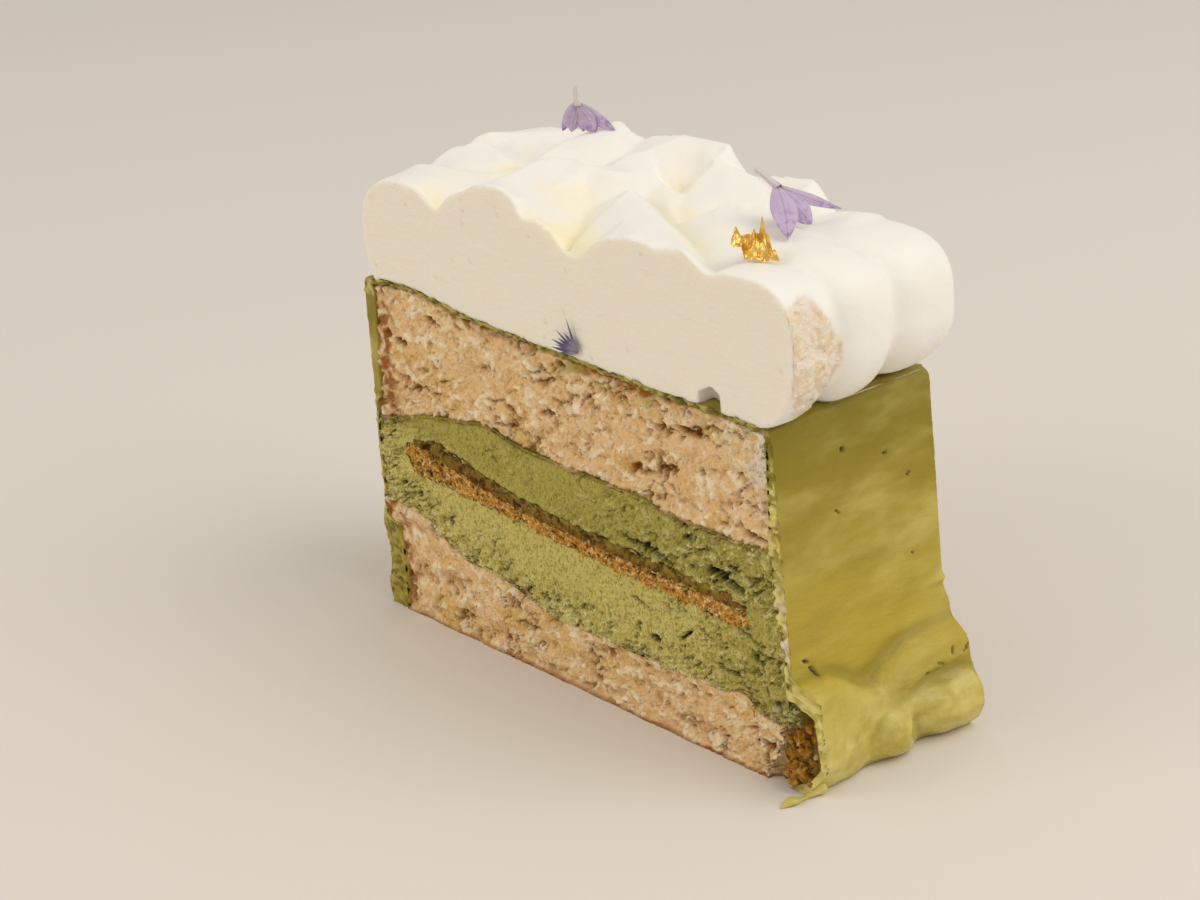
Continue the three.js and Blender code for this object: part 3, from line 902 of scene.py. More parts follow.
@dataclass
class CutLayer:
    """A layer that runs through the slice between its two cut faces, as a finely divided block."""

    form: SliceForm
    name: str
    lower: Surface
    upper: Surface
    start: Surface
    end: Surface
    step: float = 0.33
    taper: float = 0.0

    def mesh(self) -> Piece:
        """The layer with plain faces."""
        form = self.form
        middle = (form.left + form.right) / 2
        tall = float(self.upper(middle, 0.0) - self.lower(middle, 0.0))
        grid = BlockGrid(stations(form.length, self.step), edge_stations(15), stations(tall, self.step))
        rows, quads = grid.surface()
        u, v, w = rows.T
        y = form.front + form.depth * v
        rough_z = self.lower(0.0, y) * (1 - w) + self.upper(0.0, y) * w
        x = self.start(rough_z, y) * (1 - u) + self.end(rough_z, y) * u
        low, high = self.lower(x, y), self.upper(x, y)
        taper = self.taper * np.minimum(ramp(u, 0.0, 0.09), ramp(u, 1.0, 0.93)) + 1 - self.taper
        z = low * (1 - w * taper) + high * w * taper
        x = self.start(z, y) * (1 - u) + self.end(z, y) * u
        return make_mesh(self.name, np.stack([x, y, z], axis=1), quads, form)

    def above_lower(self, points: Array) -> Array:
        """Height of each point over the layer's underside."""
        return points[:, 2] - self.lower(points[:, 0], points[:, 1])

    def below_upper(self, points: Array) -> Array:
        """Depth of each point under the layer's top."""
        return self.upper(points[:, 0], points[:, 1]) - points[:, 2]


@dataclass
class DeepSlot(CutLayer):
    """Cutting block for a slot, which stands out past both cut faces."""

    def mesh(self) -> Piece:
        """The block, a little deeper than the slice."""
        piece = super().mesh()
        points = layout_points(piece, self.form)
        points[:, 1] *= 1.1
        move_points(piece, points, self.form)
        return piece


@dataclass
class Sponge(CutLayer):
    """A layer of nut sponge with an open, torn crumb on its cut faces."""

    seed: int = 1
    tears: Sequence[Tear] = ()
    top: bool = False

    def crumb(self, points: Array) -> tuple[Array, Array]:
        """Depth of torn plates, the crumbs on them, clefts and holes, and the tone of each crumb."""
        seed = self.seed
        sway = three(lambda axis: noise(points, 1.3, seed + axis, 2))
        warped = points + 0.75 * sway
        plates = stepped(noise(turned(points + 0.5 * sway, -12.0), (6.0, 4.0, 2.4), seed + 10, 3), 5.0)
        big, tone, _ = crumbled(warped, (2.4, 2.2, 1.5), seed + 20)
        small, fine_tone, _ = crumbled(warped, (1.2, 1.1, 0.9), seed + 30)
        cleft = bump(noise(points + sway, (4.6, 3, 2.2), seed + 40, 2), 0.0, 0.07)
        cleft = cleft * ramp(noise(points, 6, seed + 45, 2), 0.0, 0.25)
        _, hole_tone, hole_near = crumbled(warped, 2.8, seed + 50)
        holes = ramp(hole_near, 0.3, 0.12) * ramp(hole_tone, 0.78, 0.9)
        torn = torn_depth(points, self.tears, self.form, seed + 90)
        depth = 0.85 - 1.15 * plates - 0.34 * big - 0.26 * small + 1.1 * cleft + 0.9 * holes + torn
        return np.maximum(depth, 0.0), 0.5 * tone + 0.5 * fine_tone

    def build(self) -> Piece:
        """The sponge, with what its finish reads."""
        form = self.form
        piece = self.mesh()
        points = layout_points(piece, form)
        depth, tone = self.crumb(points)
        x, z = points[:, 0], points[:, 2]
        depth = depth * ramp(z, -0.6, 1.2)
        cut = on_cut(points, form)
        under, over = self.below_upper(points), self.above_lower(points)
        crust = ramp(over, 0.9, 0.25) * (0.7 + 0.3 * noise(points, 2, self.seed + 6))
        specks = ramp(noise(points, 1.4, self.seed + 8, 2), -0.25, 0.2)
        crust = np.maximum(crust, 0.9 * ramp(x, form.left + 9.0, form.left + 4.5) * specks)
        if self.top:
            depth = depth + 1.4 * ramp(under, 1.2, 0.7)
            rind = ramp(under, 3.4, 1.4) * ramp(noise(points, (6, 4, 2.2), self.seed + 7, 2), -0.3, 0.1)
            crust = np.maximum(crust, 0.95 * rind * ramp(x, 46, 30) * (0.35 + 0.65 * specks))
            stain = ramp(under, 7.5, 0.3) * ramp(x, -14, 8)
            stain = stain * ramp(noise(points, (3.4, 3, 2), 21, 2), -0.1, 0.35)
            smear = ramp(x, 44, 51) * ramp(z, 44, 58) * ramp(noise(points, 3, 8, 2), -0.5, 0.1)
        else:
            patch = ramp(noise(points, 6, self.seed + 5, 2), -0.3, 0.3)
            crust = np.maximum(crust, 0.7 * ramp(under, 0.7, 0.2) * patch)
            stain = 0.6 * ramp(under, 1.6, 0.2) * ramp(noise(points, 3, self.seed + 9), -0.2, 0.5)
            smear = np.zeros(len(points))
        moist = ramp(noise(points, (10, 8, 6), self.seed + 4, 2), 0.05, 0.45)
        strewn = cut * ramp(noise(points, 5, self.seed + 3, 2), -0.3, 0.5) * ramp(z, 0.6, 1.4)
        # hollow marks painted shade where the cut face is pressed in deepest, which includes the band just
        # under the coat.
        store(piece, hollow=ramp(depth, 0.95, 2.1), tone=tone, crust=crust, stain=0.75 * stain)
        store(piece, smear=0.85 * smear, moist=0.8 * moist, strewn=strewn)
        move_points(piece, press_cut(points, depth * cut, form), form)
        return piece


@dataclass
class MatchaCream(CutLayer):
    """The green cream between the sponges, torn by the knife, with a slot for the crunch layer."""

    tears: Sequence[Tear] = ()
    slot: Sequence[CutLayer] = ()

    def flakes(self, points: Array) -> tuple[Array, Array, Array]:
        """Depth of the torn relief, where flakes catch the light, and the tone of each flake."""
        form = self.form
        over = self.above_lower(points)
        x, z = points[:, 0], points[:, 2]
        above = ramp(z, form.crunch_top(x, points[:, 1]), form.film_top(x, points[:, 1]) + 1)
        torn = np.maximum(ramp(over, 10, 1), 0.6 * ramp(x, 5, 40)) * (1 - above) + above * ramp(x, -10, 40)
        torn = np.maximum(torn, ramp(x, form.left + 9, form.left + 3))
        torn = np.clip(0.75 * torn + 0.4 * noise(points, 6, 31, 2) + 0.12, 0.08, 1)
        drawn = turned(points, -24.0)
        sway = three(lambda axis: noise(points, 1.3, 30 + axis, 2))
        sheets = stepped(noise(drawn + 0.6 * sway, (6.0, 3.0, 1.6), 33, 2), 4.0)
        big, tone, _ = crumbled(drawn + 0.5 * sway, (2.3, 2.0, 0.95), 36)
        small, fine_tone, _ = crumbled(drawn + 0.3 * sway, (0.95, 0.9, 0.55), 46)
        crack = bump(noise(drawn + 0.5 * sway, (3.4, 3.0, 0.9), 34, 2), 0.0, 0.07)
        crack = crack * ramp(noise(points, 3.0, 35, 2), -0.1, 0.2)
        relief = 0.15 * noise(points, 9, 38, 2) - torn * (0.85 * sheets + 0.6 * big - 1.4 * crack)
        relief = relief - (0.12 + 0.16 * torn) * small + 0.55
        tone = 0.5 * tone + 0.5 * fine_tone
        # lit: flakes, picked by their tone, that get a painted highlight.
        lit = torn * ramp(tone, 0.45, 0.8) * (1 - crack)
        tone = 1 - (0.3 + 0.7 * torn) * (1 - tone)
        return np.maximum(relief, 0) + torn_depth(points, self.tears, form, 39), lit, tone

    def build(self) -> Piece:
        """The cream, with what its finish reads."""
        form = self.form
        piece = self.mesh()
        for cutter in self.slot:
            tool = cutter.mesh()
            modifier = piece.modifiers.new("slot", "BOOLEAN")
            modifier.operation, modifier.solver, modifier.object = "DIFFERENCE", "MANIFOLD", tool
            apply_modifiers(piece)
            remove(tool)
        points = layout_points(piece, form)
        depth, flake, tone = self.flakes(points)
        x, y, z = points.T
        band = ramp(self.below_upper(points), 2.2, 0.3) * (0.75 + 0.4 * noise(points, 3, 41))
        above = ramp(z, form.crunch_top(x, y), form.film_top(x, y) + 1.5)
        band = np.maximum(band, 0.5 * above + 0.45 * ramp(x, 30, 50) * (1 - above))
        left_edge = ramp(x, form.left + 6, form.left + 2) * ramp(noise(points, 1.5, 42, 2), -0.3, 0.3)
        # flake marks the painted highlights, with pale random patches near the left end added to it.
        flake = np.maximum(flake, 0.9 * left_edge)
        # hollow marks painted shade where the torn relief is deepest.
        store(piece, hollow=ramp(depth, 0.95, 1.7), tone=tone, flake=flake, band=band)
        move_points(piece, press_cut(points, depth, form), form)
        return piece


@dataclass
class Strip(CutLayer):
    """The crunch layer or the paste on it, with rounded ends."""

    seed: int = 60
    grain: float = 0.9
    rough: float = 0.5

    def build(self) -> Piece:
        """The strip, with what its finish reads."""
        form = self.form
        piece = self.mesh()
        points = layout_points(piece, form)
        warped = points + 0.3 * noise(points, 1.0, self.seed)[:, None]
        stand, _, _ = crumbled(warped, self.grain, self.seed)
        pits = ramp(noise(points, 1.6, self.seed + 4, 2), 0.2, 0.45)
        depth = self.rough * (0.35 - 0.9 * stand + 1.8 * pits) + 0.12 * noise(points, 0.5, self.seed + 5)
        tall = self.upper(points[:, 0], points[:, 1]) - self.lower(points[:, 0], points[:, 1])
        upper = ramp(self.above_lower(points) / tall, 0.3, 0.9)
        # hollow marks painted shade where the cut face is pressed in deepest.
        hollow = ramp(depth, self.rough, 2.4 * self.rough)
        store(piece, hollow=hollow, upper=upper, strewn=on_cut(points, form))
        move_points(piece, press_cut(points, depth, form), form)
        return piece


def strip_ends(
    form: SliceForm, start: float, end: float, lower: Surface, upper: Surface, grow: float = 0.0
) -> tuple[Surface, Surface]:
    """Rounded start and end of a strip, grown by a clearance."""

    def nose(z: Array, x: float, y: Array) -> Array:
        """How far an end at x is rounded back, at heights z."""
        return form.nose * (z - (lower(x, y) + upper(x, y)) / 2) ** 2

    return (
        lambda z, y: start - grow + nose(z, start, y),
        lambda z, y: end + grow - nose(z, end, y),
    )


# ---- surfaces over a plane ----


TINY = 1e-6


@dataclass(frozen=True)
class Facets:
    """A surface over a plane, given by crests and valleys (lines) and spots that straight slopes join.

    Each knot is its two places on the plane and its height there, in millimetres.
    """

    lines: tuple
    spots: tuple

    def height(self, x: Array, y: Array, spread: float) -> Array:
        """Height on a lattice of columns x and rows y, softened over spread millimetres."""
        knots, edges = [], []
        for line in self.lines:
            edges += [(len(knots) + i, len(knots) + i + 1) for i in range(len(line) - 1)]
            knots += line
        knots += self.spots
        plan = [Vector(knot[:2]) for knot in knots]
        placed, _, faces, sources, _, _ = delaunay_2d_cdt(plan, edges, [], 0, 1e-4)
        heights = []
        for place, source in zip(placed, sources):
            near = source or [min(range(len(plan)), key=lambda i: (plan[i] - place).length)]
            heights.append(sum(knots[i][2] for i in near) / len(near))
        top = np.full((len(x), len(y)), float(np.mean(heights)))
        for face in faces:
            (xa, ya), (xb, yb), (xc, yc) = (placed[i] for i in face)
            columns = slice(*np.searchsorted(x, [min(xa, xb, xc) - TINY, max(xa, xb, xc) + TINY]))
            rows = slice(*np.searchsorted(y, [min(ya, yb, yc) - TINY, max(ya, yb, yc) + TINY]))
            gx, gy = np.meshgrid(x[columns], y[rows], indexing="ij")
            area = (xb - xa) * (yc - ya) - (xc - xa) * (yb - ya)
            b = ((gx - xa) * (yc - ya) - (xc - xa) * (gy - ya)) / area
            c = ((xb - xa) * (gy - ya) - (gx - xa) * (yb - ya)) / area
            inside = (b > -TINY) & (c > -TINY) & (b + c < 1 + TINY)
            plane = heights[face[0]] * (1 - b - c) + heights[face[1]] * b + heights[face[2]] * c
            top[columns, rows][inside] = plane[inside]
        return self.soften(top, (x[1] - x[0], y[1] - y[0]), spread)

    @staticmethod
    def soften(top: Array, pitch: tuple[float, float], spread: float) -> Array:
        """Lattice of heights averaged with a bell of spread millimetres each way."""
        for axis, step in enumerate(pitch):
            reach = int(3 * spread / step) + 1
            weights = np.exp(-0.5 * (np.arange(-reach, reach + 1) * step / spread) ** 2)
            pad = [(reach, reach) if i == axis else (0, 0) for i in range(2)]
            wide = np.pad(top, pad, mode="edge")
            parts = [w * np.take(wide, range(i, i + top.shape[axis]), axis) for i, w in enumerate(weights)]
            top = sum(parts) / weights.sum()
        return top


def looked_up(table: Array, low: tuple[float, float], pitch: float, x: Array, y: Array) -> Array:
    """Values between the points of a table whose first point lies at low."""
    i = np.clip((x - low[0]) / pitch, 0, table.shape[0] - 1.001)
    j = np.clip((y - low[1]) / pitch, 0, table.shape[1] - 1.001)
    a, b = i.astype(int), j.astype(int)
    u, v = i - a, j - b
    near = table[a, b] * (1 - u) * (1 - v) + table[a + 1, b] * u * (1 - v)
    return near + table[a, b + 1] * (1 - u) * v + table[a + 1, b + 1] * u * v


# ---- coat ----


FOOT = Facets(
    lines=(
        ((-20, 26, 56), (0, 26, 56), (20, 26, 56)),
        ((-20, 21.8, 56.2), (-10, 21.4, 56.2), (0, 19, 56.4), (10, 21.4, 56.5), (20, 21.8, 57.6)),
        ((-20, 20.4, 56.2), (-15.8, 20.5, 56.3), (-11.8, 19.6, 56.4), (-7.9, 17.4, 56.6),
         (-4.5, 15, 56.8), (-1.5, 14.4, 57), (1.6, 16.6, 56.9), (7.6, 18.8, 56.8), (14.9, 19.7, 57.2),
         (20, 19.4, 58)),
        ((-20, 17.9, 62.8), (-18.9, 18.1, 62.4), (-17.1, 19, 61.3), (-11.8, 17.8, 60.3),
         (-7.9, 15.2, 60.1), (-4.5, 12.8, 60.1), (-0.9, 12.6, 60.4), (1.6, 14.7, 60.6), (7.6, 16.7, 60.7),
         (14.9, 17.3, 60.9), (20, 16.8, 61.1)),
        ((-20, 15, 62.9), (-20, 11, 63.6), (-20, 8, 63.9), (-20, 5.6, 63.9), (-20, 2, 61),
         (-20, -1, 58.8)),
        ((-6.4, 3.3, 60.9), (-3.9, 4.9, 60.8), (-2.4, 6.9, 60.8), (0.3, 8.9, 60.8)),
        ((4, 8.8, 61), (4.8, 6.4, 61.2), (5.4, 4.3, 61.1), (6.9, 1.9, 60.5)),
        ((-0.3, 9.8, 60.7), (3.3, 10.5, 60.4), (5.9, 10.6, 60.2), (11.2, 11.2, 60), (16.4, 11.8, 61),
         (20, 12.2, 62.8)),
        ((5.9, 8.2, 62.2), (10.3, 8.8, 63.8), (15.8, 8.4, 64.1), (20, 8.6, 64.6)),
        ((-20, 0, 58.6), (-17.2, 0, 58.8), (-14.4, 0, 59.8), (-9.3, 0, 59.8), (-4.9, 0, 59),
         (-0.6, 0, 60), (1.4, 0, 60.9), (4.7, 0, 60.6), (7.3, 0, 59.7), (9.2, 0, 59.4), (12.1, 0, 61.2),
         (16, 0, 61.8), (20, 0, 61.9)),
        ((-20, -1, 58.4), (0, -1, 59.2), (20, -1, 60.6)),
    ),
    spots=(
        (-13, 15.1, 61.3), (-17, 12, 62.5), (-14.5, 10.9, 62.2), (-17, 6, 63.2), (-12, 5.3, 62.6),
        (-7.9, 9.6, 61.3), (-10, 12, 61), (-4.5, 9.5, 60.7), (-14, 2, 61.3), (-9, 2, 61.4),
        (-5, 1.6, 60.4), (-0.5, 1.6, 62.3), (3, 1.6, 62.5), (8.4, 1.8, 60.9), (12, 1.8, 63.2),
        (16, 1.8, 63.7), (19.4, 2, 63.8), (-1.3, 6.3, 63.5), (-1, 7.9, 63), (1.1, 4.9, 63.7),
        (-3.1, 4.4, 62.6), (2.5, 7.2, 63.1), (7.5, 4.6, 62.6), (11.5, 4.6, 64.6), (16.5, 4.8, 65),
        (19.4, 5.4, 65.2), (7.6, 13.6, 60.9), (14.9, 14.2, 61.2), (19.2, 14.4, 61.8),
    ),
)


COAT_MARKS = tears(
    (-2.8, 55.6, 0.5, 0.35, 60, 0.8), (7, 52, 0.7, 0.2, 20, 0.5), (11.9, 46.5, 0.8, 0.2, 45, 0.5),
    (-5.1, 45.4, 0.7, 0.2, -40, 0.6), (11.9, 32.5, 0.3, 0.3, 0, 0.5), (-14.9, 22.3, 0.9, 0.25, -35, 0.6),
    (-13.6, 20.4, 0.9, 0.35, -60, 0.9), (15, 15.2, 1.2, 0.16, 80, 0.6), (18, 14.6, 1, 0.14, 60, 0.5),
    (12.4, 13.3, 1.1, 0.16, -25, 0.6), (9.5, 12.4, 0.6, 0.12, 0, 0.4),
)


class Leg(IntEnum):
    """The coat's three legs, in the order in which it runs over the slice."""

    LEFT = 0
    TOP = 1
    RIGHT = 2


@dataclass
class Coat:
    """The green coat: one bent sheet up the left end, over the top and down the right end to its foot."""

    form: SliceForm
    step: float = 0.55
    layers: int = 8
    foot_low: tuple[float, float] = (-20.0, -1.0)
    foot_high: tuple[float, float] = (20.01, 27.01)
    foot_pitch: float = 0.4

    def __post_init__(self) -> None:
        """Tabulates how far the foot's folds stand out, over the depth and the height of the right end."""
        axes = [np.arange(low, high, self.foot_pitch) for low, high in zip(self.foot_low, self.foot_high)]
        fine = FOOT.height(*axes, 0.6)
        self.table = fine + 0.3 * (fine - self.softened(fine, 2.6))

    def softened(self, table: Array, spread: float) -> Array:
        """A table of the foot, softened over spread millimetres."""
        return Facets.soften(table, (self.foot_pitch, self.foot_pitch), spread)

    def legs(self) -> tuple[Array, Array]:
        """Leg number and place from 0 to 1 along it, for each station from the left foot to the right one."""
        form = self.form
        spans = [form.height, form.length, form.height]
        steps = [self.step, self.step, self.step * 0.75]
        leg, along = [], []
        for number, span, step in zip(Leg, spans, steps):
            t = stations(span, step)
            t = t if number == Leg.LEFT else t[1:]
            leg.append(np.full(len(t), int(number)))
            along.append(t)
        return np.concatenate(leg), np.concatenate(along)

    def skin(self, leg: Array, t: Array, y: Array, outer: bool) -> tuple[Array, Array]:
        """X and Z on the inside or outside of the coat."""
        form = self.form
        lift = 0.0 if outer else -form.cover + form.gap / 2
        if outer:
            left = lambda z: form.left_outside(z, y)
            right = lambda z: self.foot(z, y)
        else:
            left = form.left_inside
            right = lambda z: self.inside(z, y)
        x_left, x_right = left(form.height + 0 * y), right(form.height + 0 * y)
        z_left = form.cover_top(x_left, y) + lift
        z_right = form.cover_top(x_right, y) + lift
        z_up, z_down = t * z_left, (1 - t) * z_right
        x_over = x_left * (1 - t) + x_right * t
        which = [leg == Leg.LEFT, leg == Leg.TOP]
        x = np.select(which, [left(z_up), x_over], right(z_down))
        over = form.cover_top(x_over, y) + lift
        if not outer:
            edge = np.stack([x_over, y, over], axis=1)
            ends = ramp(t, 0.0, 0.02) * ramp(t, 1.0, 0.98)
            over = over + ends * (0.55 * noise(edge, 1.5, 78, 2) + 0.3 * noise(edge, 5.0, 79))
        return x, np.select(which, [z_up, over], z_down)

    def foot(self, z: Array, y: Array) -> Array:
        """Outside of the right end: a drawn wall above, and the folded foot below."""
        form = self.form
        wall = form.right + form.flare * (1 - z / form.height)
        folded = looked_up(self.table, self.foot_low, self.foot_pitch, y, z)
        high = ramp(y, 8, 18)
        return folded + (wall - folded) * ramp(z, 20.5 + 2.5 * high, 23.5 + 4.0 * high)

    def inside(self, z: Array, y: Array) -> Array:
        """Inside of the right end, with the pocket behind the foot's thin front flap."""
        backing = self.form.right_backing(z)
        pocket = ramp(y, -12.5, -17.0) * ramp(z, 17.0, 14.5) * ramp(z, 0.4, 2.5)
        return backing + pocket * np.maximum(self.foot(z, y) - 1.5 - backing, 0)

    def body(self) -> tuple[Array, Array, Array]:
        """Rows of leg, depth and thickness, the coat's points and its quads."""
        form = self.form
        leg, along = self.legs()
        place = np.arange(len(leg), dtype=float)
        grid = BlockGrid(place, stations(form.depth, self.step * 0.8), np.linspace(0, 1, self.layers))
        rows, quads = grid.surface()
        station = rows[:, 0].astype(int)
        y = form.front + form.depth * rows[:, 1]
        x_in, z_in = self.skin(leg[station], along[station], y, False)
        x_out, z_out = self.skin(leg[station], along[station], y, True)
        w = rows[:, 2]
        points = np.stack([x_in * (1 - w) + x_out * w, y, z_in * (1 - w) + z_out * w], axis=1)
        return rows, points, quads

    def round_edges(self, points: Array, rows: Array) -> Array:
        """Pulls the two long top edges of the outside in to a soft radius."""
        form = self.form
        radius, pull = 1.6, 0.3
        rounded = points.copy()
        for side in (form.left, form.right):
            away = radius - np.abs(side - points[:, 0])
            top = radius - (form.cover_top(points[:, 0], points[:, 1]) - points[:, 2])
            corner = np.maximum(0, away) * np.maximum(0, top) / radius
            rounded[:, 0] -= np.sign(side) * pull * corner * rows[:, 2]
            rounded[:, 2] -= pull * corner * rows[:, 2]
        return rounded

    def pits(self, points: Array) -> Array:
        """Depth of the small holes and cracks in the outside of the right end."""
        y, z = points[:, 1], points[:, 2]
        ragged = noise(points, 0.9, 71, 2)
        depth = np.zeros(len(points))
        for mark in COAT_MARKS:
            depth = np.maximum(depth, mark.depth_at(y, z, 0.5 * ragged))
        return depth * (points[:, 0] > self.form.right - 2)

    def tail(self) -> tuple[Array, list[tuple[int, ...]]]:
        """The pulled-out drop that lies in front of the foot, as points and faces."""
        sides, count = 20, 36
        t = np.linspace(0, 1, count)[:, None]
        angle = np.linspace(0, math.tau, sides, endpoint=False)[None, :]
        wide = 1.3 * ramp(t, 0.42, 0.0) + 0.45 + 0.75 * bump(t, 0.74, 0.17) - 0.1 * t
        wide = wide * np.sqrt(np.clip(1 - t**5, 0, 1)) + 0.02
        x = self.form.right + 6.2 - 0.9 * t**2 + wide * np.cos(angle)
        y = self.form.front + 2.6 - 8.4 * t + 0.12 * wide * np.cos(angle)
        z = np.maximum(0.72 * wide + 0.7 * wide * np.sin(angle), 0.05)
        rings = np.stack([x, y, z], axis=2).reshape(-1, 3)
        caps = [tuple(range(sides)), tuple(range((count - 1) * sides, count * sides))[::-1]]
        return rings, outward(sheet_quads(count, sides, closed=True)) + caps

    def build(self) -> tuple[Piece, Piece]:
        """The coat and its tail, with what their finish reads."""
        form = self.form
        rows, points, quads = self.body()
        points = self.round_edges(points, rows)
        piece = make_mesh("coat", points, quads, form)
        outer = ramp(rows[:, 2], 0.7, 1.0)
        edge = 1 - ramp(np.abs(points[:, 1]), form.depth / 2 - 0.9, form.depth / 2 - 0.2)
        waves = 0.3 * noise(points, (9, 14, 9), 72, 2) + 0.1 * noise(points, 3.5, 73, 2)
        pits = self.pits(points)
        shift = (waves * edge - pits) * outer
        moved = points + normals(piece) * shift[:, None]
        x, y, z = points.T
        cut = on_cut(points, form)
        sway = 0.4 * noise(points, 0.9, 75, 2)[:, None]
        stand, tone, _ = crumbled(points + sway, (1.2, 1.1, 0.9), 74)
        left = ramp(x, form.left + 6, form.left + 4)
        right = ramp(x, form.right - 3, form.right)
        calm = left * ramp(z, 43, 46) * ramp(z, form.height - 0.5, form.height - 2)
        calm = np.maximum(calm, right * (y > 0))
        stand, tone = stand * (1 - 0.8 * calm), tone * (1 - calm) + 0.3 * calm
        moved[:, 1] -= np.sign(y) * cut * np.clip(0.36 - 0.5 * stand, 0.0, 1.2)
        moved[:, 2] = np.maximum(moved[:, 2], 0.02)
        move_points(piece, moved, form)
        top = ramp(z, form.height - 3.5, form.height - 2)
        # Painted shade in the foot's folds: how far each place lies below its softened surface.
        creases = self.softened(self.table, 2.4) - self.table
        crease = looked_up(creases, self.foot_low, self.foot_pitch, y, z) * right * ramp(z, 22, 19)
        shaded = np.maximum(0.6 * top, 0.5 * left * (z < 18))
        store(
            piece,
            # height drives the darkening towards the top, partly own colour and partly painted shade.
            height=z / form.height,
            # foot: where the finish lays painted light on the foot and makes it glossier.
            foot=right * ramp(z, 19, 8),
            bead=0.9 * cut * ramp(tone, 0.35, 0.7) * (right * ramp(z, 63, 52) + 0.4 * top + 0.25 * left),
            # hollow: painted shade in the holes and cracks of the right end, and between the crumbs of the
            # cut face.
            hollow=np.maximum(ramp(pits, 0.15, 0.45), 0.7 * cut * ramp(stand, -0.25, -0.7) * (1 - right)),
            # Painted shade in the foot's folds, and on the cut face near its top and low at its left end.
            crease=np.maximum(0.6 * ramp(crease, 0.1, 1.0), cut * shaded),
            cream=cut * left * ramp(z, 44, 42) * ramp(z, 17, 20),
            smear=cut * right * bump(z, 29, 5) * ramp(noise(points, 2.2, 76, 2), -0.2, 0.15),
        )
        tail_points, tail_faces = self.tail()
        tail = make_mesh("tail", tail_points, tail_faces, form)
        # The tail takes the foot's painted light and gloss all over.
        store(tail, height=np.zeros(len(tail_points)), foot=np.ones(len(tail_points)))
        return piece, tail


# ---- whipped cream ----


@dataclass(frozen=True)
class Mound:
    """One dabbed end mound of cream: middle, half sizes, heading and downward tilt in degrees."""

    at: Triple
    half: Triple
    heading: float = 0.0
    tilt: float = 0.0
    upper_rounding: float = 2.7
    lower_rounding: float = 2.1
    plan: float = 2.0

    def distance(self, points: Array) -> Array:
        """About how far points lie outside the mound, in millimetres, and below 0 inside it."""
        heading, tilt = math.radians(self.heading), math.radians(self.tilt)
        turn = Matrix.Rotation(heading, 3, "Z") @ Matrix.Rotation(tilt, 3, "Y")
        local = (points - self.at) @ np.array(turn) / self.half
        power = np.where(local[:, 2] > 0, self.upper_rounding, self.lower_rounding)
        flat = (np.abs(local[:, 0]) ** self.plan + np.abs(local[:, 1]) ** self.plan) ** (1 / self.plan)
        radius = (flat**power + np.abs(local[:, 2]) ** power) ** (1 / power)
        return (radius - 1) * min(self.half)


END_MOUNDS = (
    Mound((-40.0, -15.0, 75.5), (12.4, 12.5, 11.8)),
    Mound((-38.6, 1.5, 76.5), (13.0, 10.5, 12.0)),
    Mound((-38.8, 15.5, 76.5), (12.8, 11.0, 12.3)),
    Mound((48.6, -15.2, 75.3), (11.4, 9.6, 12.9), 0, 0, 2.9, 2.0, 2.7),
    Mound((46.8, -1.8, 75.6), (13.8, 8.6, 12.9), 0, 2, 3.2, 2.1, 2.7),
    Mound((45.6, 12.6, 75.6), (14.8, 10.6, 12.4), 0, 0, 3.2, 2.1, 2.7),
)


# The top of the cream in millimetres: its outlines at the two cuts as x and z, then its crests and valleys,
# with a sharp bend across each, and the spots between them as x, y and z.
FRONT_OUTLINE = (
    (-52, 80), (-47, 84), (-43.5, 86.2), (-39.2, 87.4), (-34.2, 86.8), (-29.8, 83.4), (-28.3, 85.1),
    (-25.7, 87.4), (-18, 90.8), (-10.3, 91.9), (-6.8, 90.8), (-5.2, 87.3), (-0.7, 87.9), (3.6, 86.1),
    (7.7, 83.1), (8.9, 81.2), (10.2, 83.5), (13.3, 86), (16.9, 88.1), (22.9, 89.4), (27.7, 89),
    (28.6, 87.5), (29.7, 89), (34.9, 90.1), (38.3, 88.3), (42.1, 85.6), (44, 84), (45.2, 85.8),
    (48.5, 87.8), (52.7, 88.3), (60, 86),
)
BACK_OUTLINE = (
    (-54, 84), (-49, 87), (-40, 88.9), (-29.5, 90.5), (-24, 92.8), (-20.7, 93.6), (-18, 92),
    (-14.1, 91.2), (-12.4, 92.2), (-3.2, 94), (7.3, 94.4), (10.6, 91), (12.5, 89), (16.5, 90.2),
    (23.2, 91.1), (28.1, 91.3), (32.3, 86.8), (34.3, 86.2), (43, 87.6), (55.2, 87.9), (60, 86),
)
